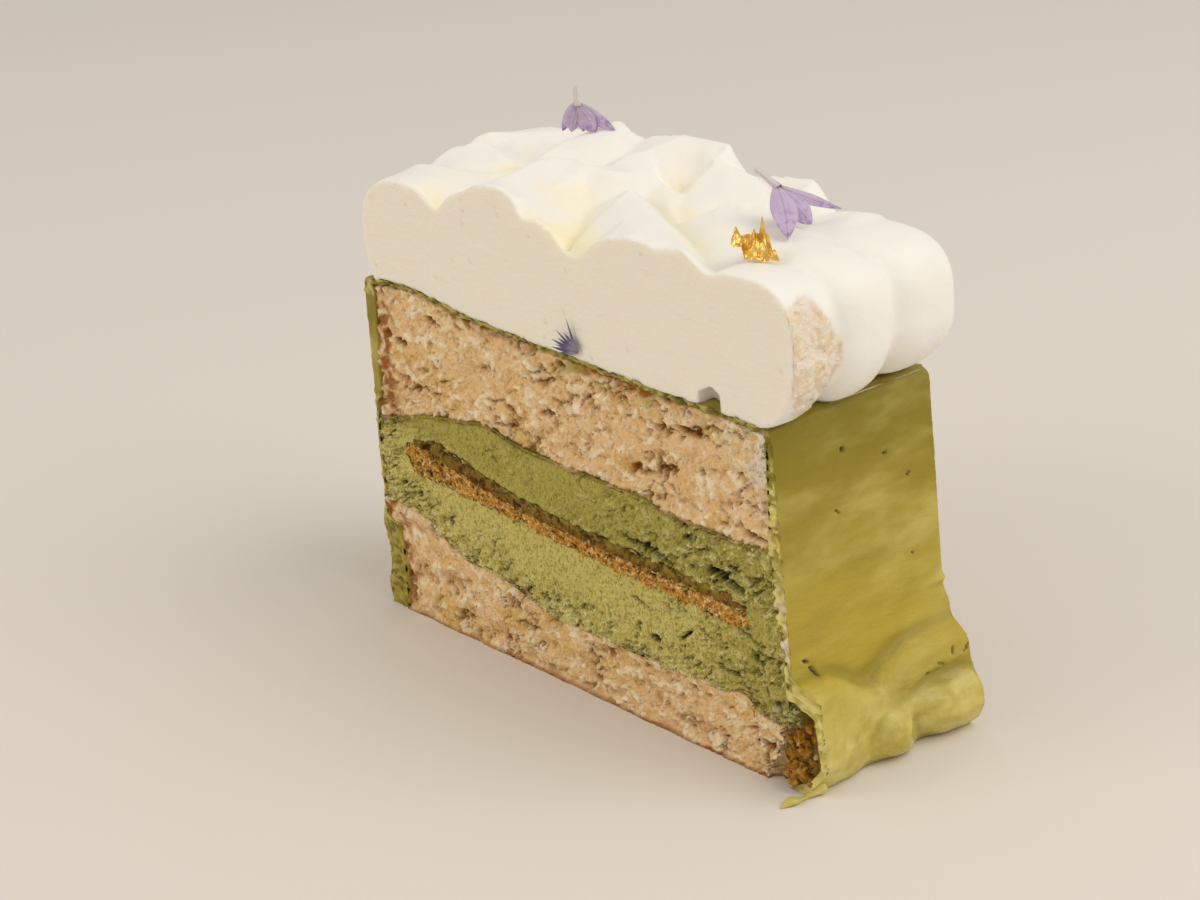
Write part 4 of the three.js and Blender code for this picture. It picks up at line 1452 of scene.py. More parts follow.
CREAM_LINES = (
    ((-49, -10, 86.4), (-46.6, -8.6, 87.6), (-41, -8.2, 88), (-34.7, -6.7, 87.6), (-29.5, -4.2, 88)),
    ((-50, -6.5, 85), (-46, -5.2, 85.2), (-43, -5, 85.4), (-36, -4, 85.4), (-30, -2, 86)),
    ((-48, -3.6, 87.2), (-45, -1.2, 88.6), (-42.9, 3, 90.4), (-37.6, 2.4, 89.5), (-31.8, 0.4, 89),
     (-28.2, -0.4, 88)),
    ((-46, 4.6, 87.2), (-41, 5.6, 86.8), (-35, 4.6, 86.4), (-29, 3, 86.4)),
    ((-50.5, -4.6, 86.4), (-51, -1, 88.4), (-50.5, 3, 89.6), (-45.5, 6.8, 90.1), (-41, 9.8, 90.1),
     (-36, 15.7, 89.9)),
    ((-25.2, 1, 89.2), (-25.1, 4.3, 90.6), (-25.1, 8.4, 91.7), (-22, 12.5, 93.1), (-20.6, 17.5, 94)),
    ((-28.5, 4, 86.9), (-29, 9, 87.4), (-29, 14, 88.6)),
    ((-22, 1.8, 87.9), (-15.5, 4.3, 87.9), (-12, 5, 88.3), (-12.5, 10, 89.6), (-13.3, 15, 90.6)),
    ((-12, -18.9, 91.9), (-13.8, -16.2, 91.6), (-16.4, -10.9, 91.5), (-18.8, -4.9, 91.7),
     (-19, -1.6, 91.7), (-17.5, 0.4, 91.7), (-14.9, 2, 91.5), (-10.3, 2.1, 91.2), (-4.4, 2.5, 90.7),
     (-1.8, 5, 90.2), (-0.4, 8.2, 89.7), (2.2, 7.2, 89), (9.7, 2.4, 88), (17, -2.4, 86.6)),
    ((-27, -17, 84.6), (-24.5, -11, 85.8), (-23.8, -5, 86.8), (-23, -1, 87.5)),
    ((8.9, -18.9, 81.2), (5, -17, 82.3), (2.5, -13, 83.3), (0, -9, 84.2), (-4, -4.8, 84.9)),
    ((8.2, -18.9, 83.6), (6.8, -17, 85.2), (6.1, -12.6, 87.2), (5.3, -7, 89.2), (4.7, -2, 90.6),
     (8.9, -3.1, 89.9), (17.3, -6.9, 89.2), (22.9, -9, 88.8), (29.9, -13.2, 88.4), (35, -16.5, 88.9)),
    ((3.4, 1.2, 86.8), (9, -0.2, 86.3), (16, -4, 85.8), (22, -6, 85.9), (28, -9.5, 86),
     (34, -13, 86.4), (40, -15.5, 85.6), (44, -18.9, 84)),
    ((-9.4, 4.6, 90), (-9, 9.1, 91.4), (-6.6, 12.8, 92.1), (-3.1, 15, 92.2), (2, 16.8, 92.4),
     (6.4, 18, 92.5)),
    ((8.1, 14.9, 92.2), (7.6, 11, 89.8), (9, 6.2, 87.8), (12.5, 1.4, 86.3)),
    ((8.1, 14.9, 92.2), (12, 15.5, 91.5), (17.5, 15.4, 90.8), (22, 13, 89.6), (24.5, 10, 88.8)),
    ((10.5, 18.2, 88.8), (17, 17.4, 88.2), (23, 15.4, 87.2), (27, 11.5, 87.4)),
    ((16.6, -2, 86.2), (19.5, -0.4, 88.1), (22.1, 1.2, 89.6), (23.3, 4, 90.2), (26.7, 7.3, 90.2),
     (31, 9.5, 89.2)),
    ((16.4, 0.6, 85.7), (20.5, 4, 86.9), (24, 8.5, 87.8)),
    ((37.4, 14.9, 88.1), (44.9, 16.4, 88.6), (50, 17.5, 88.4)),
    ((33, 12, 86.4), (33.6, 15.5, 86.2), (34.3, 18.9, 86.2)),
    ((42, 3, 88.5), (46.8, 3.6, 88.7), (51, 3.9, 88.6), (54.4, 3.5, 88)),
    ((36, 9.6, 87), (40, 8.4, 86.8), (46, 6.8, 86.3), (52, 7, 85.6)),
    ((40.4, -10.4, 88), (47.1, -10.9, 88.6), (53.9, -12.2, 88)),
    ((40, -7.5, 87), (48, -7, 86.6), (55, -7.5, 85.2)),
)
CREAM_SPOTS = (
    (-42, -13, 87.6), (-36, -13, 87.6), (-50, 10, 88.8), (-33, 10, 88.4), (-19, 8, 90.6),
    (-17, 13, 92), (-10, -8, 88.7), (-8, -14, 89), (-3, -15.5, 87), (-7, -2, 87.2), (-2, 0, 87.2),
    (2.6, 11.7, 85.8), (0, 10, 86.8), (5, 8.5, 86.6), (14, -12, 89), (21, -15, 89.5), (28, -17, 89.2),
    (16, 9, 89.3), (20, 9, 88.9), (15, 5, 87.8), (27, 4.8, 88.2), (30, 5.2, 88.4), (27, 1, 89.2),
    (27, -3, 88.9), (33, -1, 88.9), (36, 4, 88.6), (34, -7, 88.2), (47, -1, 88.5), (50, -15, 88.6),
    (44, 12, 88.3), (52, 12, 88),
)


def cream_top(form: SliceForm) -> Facets:
    """The crests, valleys and spots, with the outlines at both cuts carried on past them."""
    lines = list(CREAM_LINES)
    for outline, cut in ((FRONT_OUTLINE, form.front), (BACK_OUTLINE, form.back)):
        for push in (0.0, math.copysign(4, cut)):
            lines.append(tuple((at, cut + push, z) for at, z in outline))
    return Facets(tuple(lines), CREAM_SPOTS)


def joined(one: Array, other: Array, blend: float) -> Array:
    """Distance to two solids together, with the groove between them filled over about blend millimetres."""
    share = np.maximum(blend - np.abs(one - other), 0) / blend
    return np.minimum(one, other) - share**2 * blend / 4


def skin_of(distances: Array, low: Array, pitch: float) -> tuple[Array, Array]:
    """Closed skin where a lattice of distances crosses 0 (surface nets).

    Args:
        distances: Distances on the lattice, above 0 all along its rim.
        low: Place of its first point.
        pitch: Its spacing.

    Returns:
        The skin's points and its quads, with their faces outward.
    """
    inside = distances < 0
    shape = tuple(n - 1 for n in distances.shape)
    total, count = np.zeros((*shape, 3)), np.zeros(shape)
    span = [slice(0, n) for n in shape]
    for axis in range(3):
        others = [other for other in range(3) if other != axis]
        for step in product((0, 1), repeat=2):
            start = [span[i] for i in range(3)]
            for other, move in zip(others, step):
                start[other] = slice(move, shape[other] + move)
            end = list(start)
            end[axis] = slice(1, shape[axis] + 1)
            a, b = distances[tuple(start)], distances[tuple(end)]
            crossed = inside[tuple(start)] != inside[tuple(end)]
            share = np.where(crossed, a / np.where(crossed, a - b, 1.0), 0.0)
            total[..., axis] += share
            for other, move in zip(others, step):
                total[..., other] += crossed * float(move)
            count += crossed
    used = count > 0
    number = np.full(shape, -1)
    number[used] = np.arange(used.sum())
    corner = np.stack(np.nonzero(used), axis=1)
    points = low + (corner + total[used] / count[used][:, None]) * pitch
    quads = []
    for axis in range(3):
        first, second = [(axis + 1) % 3, (axis + 2) % 3]
        start, end = [slice(1, n) for n in shape], [slice(1, n) for n in shape]
        start[axis], end[axis] = slice(0, shape[axis]), slice(1, shape[axis] + 1)
        a, b = inside[tuple(start)], inside[tuple(end)]
        place = np.stack(np.nonzero(a != b), axis=1)
        leaves = a[tuple(place.T)]
        base = place + [0 if i == axis else 1 for i in range(3)]
        ring = []
        for move_first, move_second in ((0, 0), (1, 0), (1, 1), (0, 1)):
            cell = base.copy()
            cell[:, first] -= 1 - move_first
            cell[:, second] -= 1 - move_second
            ring.append(number[tuple(cell.T)])
        quad = np.stack(ring, axis=1)
        quads.append(np.where(leaves[:, None], quad, quad[:, ::-1]))
    return points, np.concatenate(quads)


@dataclass
class CreamHeap:
    """The whipped cream: dabs that run into one another, cut flush at both cut faces, resting on the coat."""

    form: SliceForm
    mounds: Sequence[Mound] = END_MOUNDS
    pitch: float = 0.46
    low: Triple = (-54.0, -20.3, 61.0)
    high: Triple = (63.0, 20.3, 96.5)

    def hollow(self, points: Array) -> Array:
        """Distance to the three-cornered hollow over the coat at the front cut."""
        x, y, z = points.T
        return np.maximum.reduce([np.abs(x - 39.7) - 2.5, z - 67.8 + 0.55 * np.abs(x - 40.2), y + 15.4])

    def solid(self) -> tuple[Array, Array]:
        """Distances on the lattice that the heap is cut from."""
        form, pitch = self.form, self.pitch
        axes = [np.arange(low, high, pitch) for low, high in zip(self.low, self.high)]
        grid = np.stack(np.meshgrid(*axes, indexing="ij"), axis=3).reshape(-1, 3)
        shape = tuple(len(axis) for axis in axes)
        top = cream_top(form).height(axes[0], axes[1], 0.5)
        slope = np.hypot(*np.gradient(top, pitch))
        over = (axes[2][None, None, :] - top[:, :, None]) / np.sqrt(1 + slope**2)[:, :, None]
        x, y, z = grid.T
        ends = np.maximum(-51.2 + 0.02 * (z - 76) ** 2 - x, x - 50 + 0.02 * (z - 70) ** 2)
        heap = -joined(-over.ravel(), -ends, 2.5)
        for mound in self.mounds:
            heap = joined(heap, mound.distance(grid), 1.6)
        ragged = 0.45 * noise(grid, (1.8, 3, 1.8), 88, 2)
        floor = form.cover_top(x, y) - 0.15 + ragged - z
        heap = np.maximum.reduce([heap, floor, np.abs(y) - form.depth / 2, -self.hollow(grid)])
        return heap.reshape(shape), np.array(self.low)

    def build(self) -> Piece:
        """The heap, with what its finish reads."""
        form = self.form
        distances, low = self.solid()
        points, quads = skin_of(distances, low, self.pitch)
        piece = make_mesh("whipped_heap", points, quads, form)
        facing = normals(piece)
        x, y, z = points.T
        cut = ramp(np.abs(y), form.depth / 2 - 0.5, form.depth / 2 - 0.1)
        cut = cut * ramp(np.abs(facing[:, 1]), 0.6, 0.9)
        lobe = np.hypot((y + 14.4) / 6.9, (z - 74.8 + 0.3 * (y + 12)) / 9.8) + 0.2 * noise(points, 3, 83, 2)
        torn = ramp(lobe, 1.06, 0.92) * ramp(x, 50, 53) * (1 - cut)
        _, tone, bubbles = crumbled(points, 2.2, 84)
        pores = cut * ramp(bubbles, 0.22, 0.08) * ramp(tone, 0.7, 0.8)
        skin = 0.16 * noise(points, 7, 81, 2) + 0.06 * noise(points, 2.2, 82, 2)
        flat = 0.1 * noise(points, (6, 5, 2.5), 85, 2)
        chips, _, _ = crumbled(points + 0.5 * noise(points, 1.5, 89)[:, None], (2.0, 2.2, 1.7), 86)
        rough = torn * (0.4 * chips - 0.3)
        shift = skin * (1 - cut) + (flat - 0.12) * cut - 0.5 * pores + rough
        moved = points + facing * shift[:, None]
        moved[:, 1] = np.clip(moved[:, 1], form.front, form.back)
        move_points(piece, moved, form)
        # fold: low, upward-facing places between the mounds, which get painted yellowish shade.
        depth = 90.5 - z + 2.5 * noise(points, 9, 87)
        fold = ramp(depth, 1.5, 6) * ramp(facing[:, 2], 0.2, 0.7) * ramp(np.abs(x - 1), 40, 30)
        # cut marks the cut faces, where the finish lays painted shade as well as pores and smears.
        store(piece, cut=cut, torn=torn, fold=0.8 * fold)
        return piece


# ---- flower petals and gold leaf ----


@dataclass(frozen=True)
class Lobe:
    """One lobe of a floret.

    Its tip, half width, rise of its middle and sideways bow are in millimetres, and a fullness over 1 puts
    its widest place nearer the tip.
    """

    tip: Triple
    half_width: float
    arch: float = 0.8
    bow: float = 0.0
    fullness: float = 1.0
    lift: float = 0.0


@dataclass
class Floret:
    """A flower floret: a thin tube whose mouth opens into pointed lobes, as thin papery sheets."""

    name: str
    form: SliceForm
    start: Triple
    mouth: Triple
    lobes: Sequence[Lobe]
    radius: float = 0.75
    facing: Triple = (0.6, -0.55, 0.58)
    thickness: float = 0.13
    across: int = 17
    along: int = 30
    rings: int = 16
    sides: int = 20

    def tube(self) -> tuple[Array, Array, Array]:
        """The tube's rows of points, how far along the floret each is, and their veins."""
        axis = Vector(self.mouth) - Vector(self.start)
        turn = np.array(axis.to_track_quat("Z", "Y").to_matrix())
        t = np.linspace(0, 1.12, self.rings)[:, None]
        angle = np.linspace(0, math.tau, self.sides, endpoint=False)[None, :]
        wide = 0.4 + (self.radius - 0.4) * t**1.6 + 0.06 * np.cos(5 * angle) * t
        x, y = wide * np.cos(angle), wide * np.sin(angle)
        ring = np.stack([x, y, axis.length * t + 0.35 * np.sin(2.5 * t) + 0 * angle], axis=2)
        points = ring.reshape(-1, 3) @ turn.T + self.start
        share = np.repeat(0.35 * t, self.sides, axis=1).ravel()
        veins = np.tile(np.cos(2.5 * angle) ** 4, (self.rings, 1)).ravel()
        return points, share, veins

    def blade(self, lobe: Lobe) -> tuple[Array, Array, Array]:
        """One lobe's points, how far along the floret each is, and their veins."""
        mouth, tip = np.array(self.mouth, float), np.array(lobe.tip, float)
        along = (tip - mouth) / np.linalg.norm(tip - mouth)
        side = np.cross(along, self.facing)
        side /= np.linalg.norm(side)
        out = np.cross(side, along)
        t = np.linspace(0, 1, self.along)[:, None, None]
        s = np.linspace(-1, 1, self.across)[None, :, None]
        bend = (mouth + tip) / 2 + out * lobe.arch + side * lobe.bow
        centre = mouth * (1 - t) ** 2 + 2 * bend * t * (1 - t) + tip * t**2
        shape = np.sin(math.pi * t**lobe.fullness) ** 0.85
        wide = 0.7 * self.radius * (1 - t) ** 2 + lobe.half_width * shape
        wavy = 0.16 * wide * np.sin(7 * t + 3 * s) * np.abs(s)
        points = centre + side * wide * s + out * (wavy - 0.35 * wide * s**2 + lobe.lift * t)
        share = np.broadcast_to(0.35 + 0.65 * t, (self.along, self.across, 1)).ravel()
        veins = bump(s, 0, 0.1) + 0.7 * bump(np.abs(s), 0.4, 0.07) + 0.5 * bump(np.abs(s), 0.72, 0.06)
        return points.reshape(-1, 3), share, np.broadcast_to(veins, (self.along, self.across, 1)).ravel()

    def build(self) -> Piece:
        """The floret, with what its finish reads."""
        faces = sheet_quads(self.rings, self.sides, closed=True)
        first = self.rings * self.sides
        for number in range(len(self.lobes)):
            faces += sheet_quads(self.along, self.across, first + number * self.along * self.across)
        sheets = [self.tube(), *map(self.blade, self.lobes)]
        points, share, veins = (np.concatenate(parts) for parts in zip(*sheets))
        piece = make_mesh(self.name, points, faces, self.form)
        store(piece, along=share, vein=veins)
        thicken(piece, self.thickness)
        return piece


@dataclass
class Tuft:
    """A small tuft of narrow dark petals that stands against the front cut."""

    name: str
    form: SliceForm
    root: Triple = (8.4, -19.4, 66.4)
    rings: int = 12
    sides: int = 8
    blades: tuple = (
        (-27, 6.2, 0.24), (-12, 2.6, 0.36), (-20, 3.2, 0.36), (-38, 3.4, 0.36), (-50, 4.2, 0.32),
        (-63, 5.8, 0.28), (-72, 4.6, 0.36), (-84, 6, 0.34), (-92, 5.2, 0.3), (-99, 6.2, 0.34),
        (-108, 4.4, 0.3),
    )

    def blade(self, lean: float, length: float, half: float, out: float) -> Array:
        """Points of one narrow pointed petal, in rings."""
        t = np.linspace(0, 1, self.rings)[:, None]
        angle = np.linspace(0, math.tau, self.sides, endpoint=False)[None, :]
        wide = half * (0.7 + 1.4 * t * (1 - t) ** 0.7) * (1 - t**3) + 0.015
        reach = length * t
        curl = 0.12 * length * t**2
        x = self.root[0] + math.sin(lean) * reach + math.cos(lean) * (curl + wide * np.cos(angle))
        y = self.root[1] - out * t**1.5 + 0.35 * wide * np.sin(angle)
        z = self.root[2] + math.cos(lean) * reach - math.sin(lean) * (curl + wide * np.cos(angle))
        return np.stack([x, y + 0 * x, z], axis=2).reshape(-1, 3)

    def build(self) -> Piece:
        """The tuft, with what its finish reads."""
        points, faces = [], []
        for number, (lean, length, half) in enumerate(self.blades):
            first, last = self.rings * self.sides * number, self.rings * self.sides * (number + 1)
            out = 0.25 + 0.5 * abs(math.sin(2.4 * number))
            points.append(self.blade(math.radians(lean), length, half, out))
            faces += sheet_quads(self.rings, self.sides, first, True)
            faces += [tuple(range(first, first + self.sides))[::-1], tuple(range(last - self.sides, last))]
        merged = np.concatenate(points)
        piece = make_mesh(self.name, merged, faces, self.form)
        values = np.linalg.norm(merged - self.root, axis=1) / 6
        store(piece, along=values, vein=0.5 + 0.5 * np.sin(values * 9))
        return piece


@dataclass
class Flake:
    """A crumpled flake of gold leaf with two horns, standing on its folds."""

    name: str
    form: SliceForm
    at: Triple
    wide: float = 7.6
    tall: float = 4.0
    heading: float = 50.0
    horns: tuple = ((-0.86, 1.6, 0.12), (0.5, 2.9, 0.08), (-0.12, 1.1, 0.06))
    seed: int = 5

    def build(self) -> Piece:
        """The flake as a folded sheet with a torn upper edge."""
        columns, rows = 56, 22
        u, v = np.meshgrid(np.linspace(-1, 1, columns), np.linspace(0, 1, rows))
        flat = np.stack([3 * u, 2 * v, 0 * u], axis=2).reshape(-1, 3)
        torn = noise(flat, 0.5, self.seed, 2).reshape(u.shape)
        top = self.tall * (1 - 0.75 * ramp(u, 0.72, 0.86)) + 0.35 * torn
        for place, high, wide in self.horns:
            top = top + high * bump(u, place, wide)
        arm = ramp(u, -0.42, -0.6)
        bottom = 2.9 * arm + 0.5 * ramp(u, 0.3, -0.3) * (1 - arm) + 0.25 * torn
        top = top - 0.5 * bump(u, -0.58, 0.1) * arm
        fold = np.abs(((1.15 * u + 0.35 * v + 0.35) % 1.0) - 0.5) * 2
        crumple = noise(flat, 0.9, self.seed + 2, 2).reshape(u.shape)
        fine = noise(flat, 0.35, self.seed + 4).reshape(u.shape)
        across = self.wide / 2 * (u - 0.12 * v * np.sign(u))
        out = 1.6 * (1 - v) ** 1.5 - 1.5 * fold * (0.5 + 0.5 * v) + 0.9 * crumple + 0.25 * fine
        angle = math.radians(self.heading)
        x = self.at[0] + across * math.cos(angle) + out * math.sin(angle)
        y = self.at[1] + across * math.sin(angle) - out * math.cos(angle)
        z = self.at[2] + bottom + v * (top - bottom) + 0.2 * crumple
        points = np.stack([x, y, z], axis=2).reshape(-1, 3)
        piece = make_mesh(self.name, points, sheet_quads(rows, columns), self.form)
        piece.data.polygons.foreach_set("use_smooth", [False] * len(piece.data.polygons))
        thicken(piece, 0.06)
        return piece


@dataclass
class Lumps:
    """Loose clumps of crumb that fill the pocket behind the foot."""

    name: str
    form: SliceForm
    clumps: Sequence[tuple[float, float, float, float]]
    seed: int
    rings: int = 20
    turns: int = 32

    def build(self) -> Piece:
        """The clumps, joined, with what their finish reads."""
        points, faces = [], []
        theta = np.linspace(0, math.tau, self.turns, endpoint=False)
        phi = np.linspace(0, math.pi, self.rings + 2)[1:-1, None]
        flat, up = np.sin(phi), np.cos(phi)
        ball = np.stack([flat * np.cos(theta), flat * np.sin(theta), up + 0 * theta], axis=2)
        ball = np.concatenate([ball.reshape(-1, 3), [[0, 0, 1], [0, 0, -1]]])
        around = [(i, (i + 1) % self.turns) for i in range(self.turns)]
        for number, (x, y, z, radius) in enumerate(self.clumps):
            lump = ball * radius + (x, y, z)
            stand, _, _ = crumbled(lump, 1.1, self.seed + 30)
            grow = 1 + 0.75 * noise(lump, 1.3, self.seed + number, 2) + 0.4 * stand
            lump = ball * (radius * grow)[:, None] * (1, 0.85, 0.9) + (x, y, z)
            lump[:, 2] = np.maximum(lump[:, 2], 0.03)
            points.append(lump)
            first = len(ball) * number
            north = first + len(ball) - 2
            lowest = north - self.turns
            faces += [(north, first + i, first + j) for i, j in around]
            faces += [(north + 1, lowest + j, lowest + i) for i, j in around]
            faces += outward(sheet_quads(self.rings, self.turns, first, True))
        merged = np.concatenate(points)
        piece = make_mesh(self.name, merged, faces, self.form)
        # Dark patches at random over the clumps, kept as hollow: painted shade among them.
        hollow = ramp(noise(merged, 0.9, self.seed + 60, 2), 0.1, 0.6)
        tone = 0.5 + 0.5 * noise(merged, 1.0, self.seed + 62)
        store(piece, hollow=0.8 * hollow, tone=tone, moist=ramp(noise(merged, 2, self.seed + 61), -0.2, 0.4))
        return piece


# ---- camera, light and floor ----


@dataclass(frozen=True)
class Studio:
    """Camera at the photograph's viewing angle, soft light and a plain pale floor."""

    azimuth: float = 50.084
    elevation: float = 21.989
    roll: float = 3.778
    focal_pixels: float = 2627.712
    picture_width: float = 1200.0
    distance: float = 486.184
    aside: float = -9.249
    above: float = 37.279
    sensor: float = 36.0

    def camera(self, form: SliceForm) -> None:
        """The camera, which looks at the slice from its front right."""
        a, e, r = (math.radians(angle) for angle in (self.azimuth, self.elevation, self.roll))
        back = Vector((math.sin(a) * math.cos(e), -math.cos(a) * math.cos(e), math.sin(e)))
        level = Vector((math.cos(a), math.sin(a), 0))
        up = back.cross(level)
        right = level * math.cos(r) - up * math.sin(r)
        top = level * math.sin(r) + up * math.cos(r)
        place = back * self.distance + right * self.aside + top * self.above
        data = bpy.data.cameras.new("camera")
        data.sensor_fit = "HORIZONTAL"
        data.sensor_width = self.sensor
        data.lens = self.focal_pixels * self.sensor / self.picture_width
        data.clip_start = 0.01
        camera = linked("camera", data)
        axes = Matrix((right, top, back)).transposed()
        camera.matrix_world = Matrix.Translation(Vector(form.place(list(place)))) @ axes.to_4x4()
        bpy.context.scene.camera = camera

    def lamp(self, name: str, place: Sequence[float], size: float, power: float, colour: str) -> None:
        """A square soft light that faces the slice."""
        data = bpy.data.lights.new(name, "AREA")
        data.size = size
        data.energy = power
        data.color = hex_colour(colour)[:3]
        lamp = linked(name, data)
        lamp.location = place
        aim = Vector((0, 0, 0.05)) - Vector(place)
        lamp.rotation_euler = aim.to_track_quat("-Z", "Y").to_euler()

    def lights(self) -> None:
        """One large light overhead and behind, a weaker one in front, and pale surroundings."""
        self.lamp("overhead", (0.75, 0.3, 0.95), 0.9, 6.5, "fffaf4")
        self.lamp("front fill", (-0.5, -1.1, 0.7), 0.8, 4.2, "fff4e6")
        world = bpy.data.worlds.new("surroundings")
        world.use_nodes = True
        background = world.node_tree.nodes["Background"]
        background.inputs["Color"].default_value = hex_colour("f4f1ec")
        background.inputs["Strength"].default_value = 0.62
        bpy.context.scene.world = world
        bpy.context.scene.view_settings.view_transform = "Standard"

    def floor(self) -> None:
        """The plain pale floor."""
        mesh = bpy.data.meshes.new("floor")
        half = 3.0
        corners = [(-half, -half, 0), (half, -half, 0), (half, half, 0), (-half, half, 0)]
        mesh.from_pydata(corners, [], [(0, 1, 2, 3)])
        mesh.materials.append(studio_paper())
        linked("floor", mesh)


# ---- the slice ----


def dress(piece: Piece, material: bpy.types.Material, slot: str, *nodes: str) -> Piece:
    """Gives a piece its material and its place in the frame, and reports it.

    Args:
        piece: The finished piece.
        material: Its finish.
        slot: The record's material slot.
        nodes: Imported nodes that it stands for.

    Returns:
        The piece.
    """
    piece.data.materials.clear()
    piece.data.materials.append(material)
    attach(piece, "root")
    if nodes:
        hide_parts(*nodes)
    faces = sum(len(polygon.vertices) - 2 for polygon in piece.data.polygons)
    LOG.info("%-18s %7d triangles, slot %s", piece.name, faces, slot)
    return piece


LOWER_TEARS = tears(
    (46.5, 8, 1.6, 0.5, 20, 1), (40, 10.5, 2, 0.4, -15, 0.8), (20, 3, 1.2, 0.4, -10, 0.7),
    (-30, 6, 1.4, 0.5, -30, 0.7),
)
UPPER_TEARS = tears(
    (-47.5, 57, 1, 0.9, 0, 1.6), (-44.5, 55.8, 2.2, 0.7, -15, 1.3), (-34, 62, 2.8, 0.7, -12, 1.2),
    (-13.5, 50.5, 2, 0.6, -25, 1.3), (-3, 52, 1.8, 0.6, 10, 0.8), (2, 62, 1.6, 0.7, -10, 1.3),
    (29, 62.6, 1.3, 0.6, 0, 1.1), (34, 58, 2.6, 0.5, -10, 1.1), (46, 60.5, 1.6, 0.6, -20, 1.2),
    (48.5, 43.6, 2.6, 0.7, -6, 1.4), (-38, 52, 1.6, 0.5, -20, 0.8),
)
CREAM_TEARS = tears(
    (17.5, 34.2, 2.6, 0.45, -8, 1.8), (22.6, 33.9, 3, 0.7, -6, 2.6), (25.8, 33.2, 1.9, 0.75, -14, 3.4),
    (38, 34.6, 1.4, 0.8, 15, 2.6), (40.4, 34.3, 2.6, 0.8, -14, 3.4), (43.6, 33.5, 2.2, 0.6, -18, 2.6),
    (16.3, 39.3, 0.6, 0.35, -20, 1.2), (19.5, 23, 3.2, 0.28, -18, 1.1), (22.5, 16.8, 1.4, 0.7, -10, 1.5),
    (18.5, 18, 0.5, 0.9, 0, 1.2), (30.5, 20, 2, 0.3, 40, 1.2), (35.5, 22.2, 2, 0.25, -25, 1),
    (40.5, 17.2, 3.2, 0.45, -8, 1.6), (46.5, 25, 2.6, 0.3, -20, 1.2), (50.5, 16, 1.2, 0.5, -30, 1.2),
)
POCKET_CRUMBS = (
    (58.3, -18.2, 8.9, 1.35), (56.7, -17.6, 10.3, 1), (57.6, -18.6, 4.8, 1.6), (55.9, -18.4, 6.9, 1.2),
    (59.5, -17.4, 6.2, 0.8), (59, -17.4, 2.6, 1), (56.2, -18.6, 2.3, 1.2), (54.8, -18.2, 4.6, 0.9),
    (59.8, -17, 10.2, 0.7), (57.3, -17.6, 0.9, 0.8), (54.4, -18.2, 2.4, 0.8), (54.9, -17.9, 8.9, 0.7),
    (58.9, -17.2, 12, 0.7),
)
POCKET_BITS = (
    (53, -18.5, 13.9, 1), (55.8, -18.4, 13.4, 1.1), (54.4, -18.5, 12.6, 0.7), (57.2, -18.2, 12.8, 0.7),
    (60.6, -17.8, 7.6, 0.6), (56.8, -18.5, 15, 0.6), (52, -18.6, 12.4, 0.6),
)


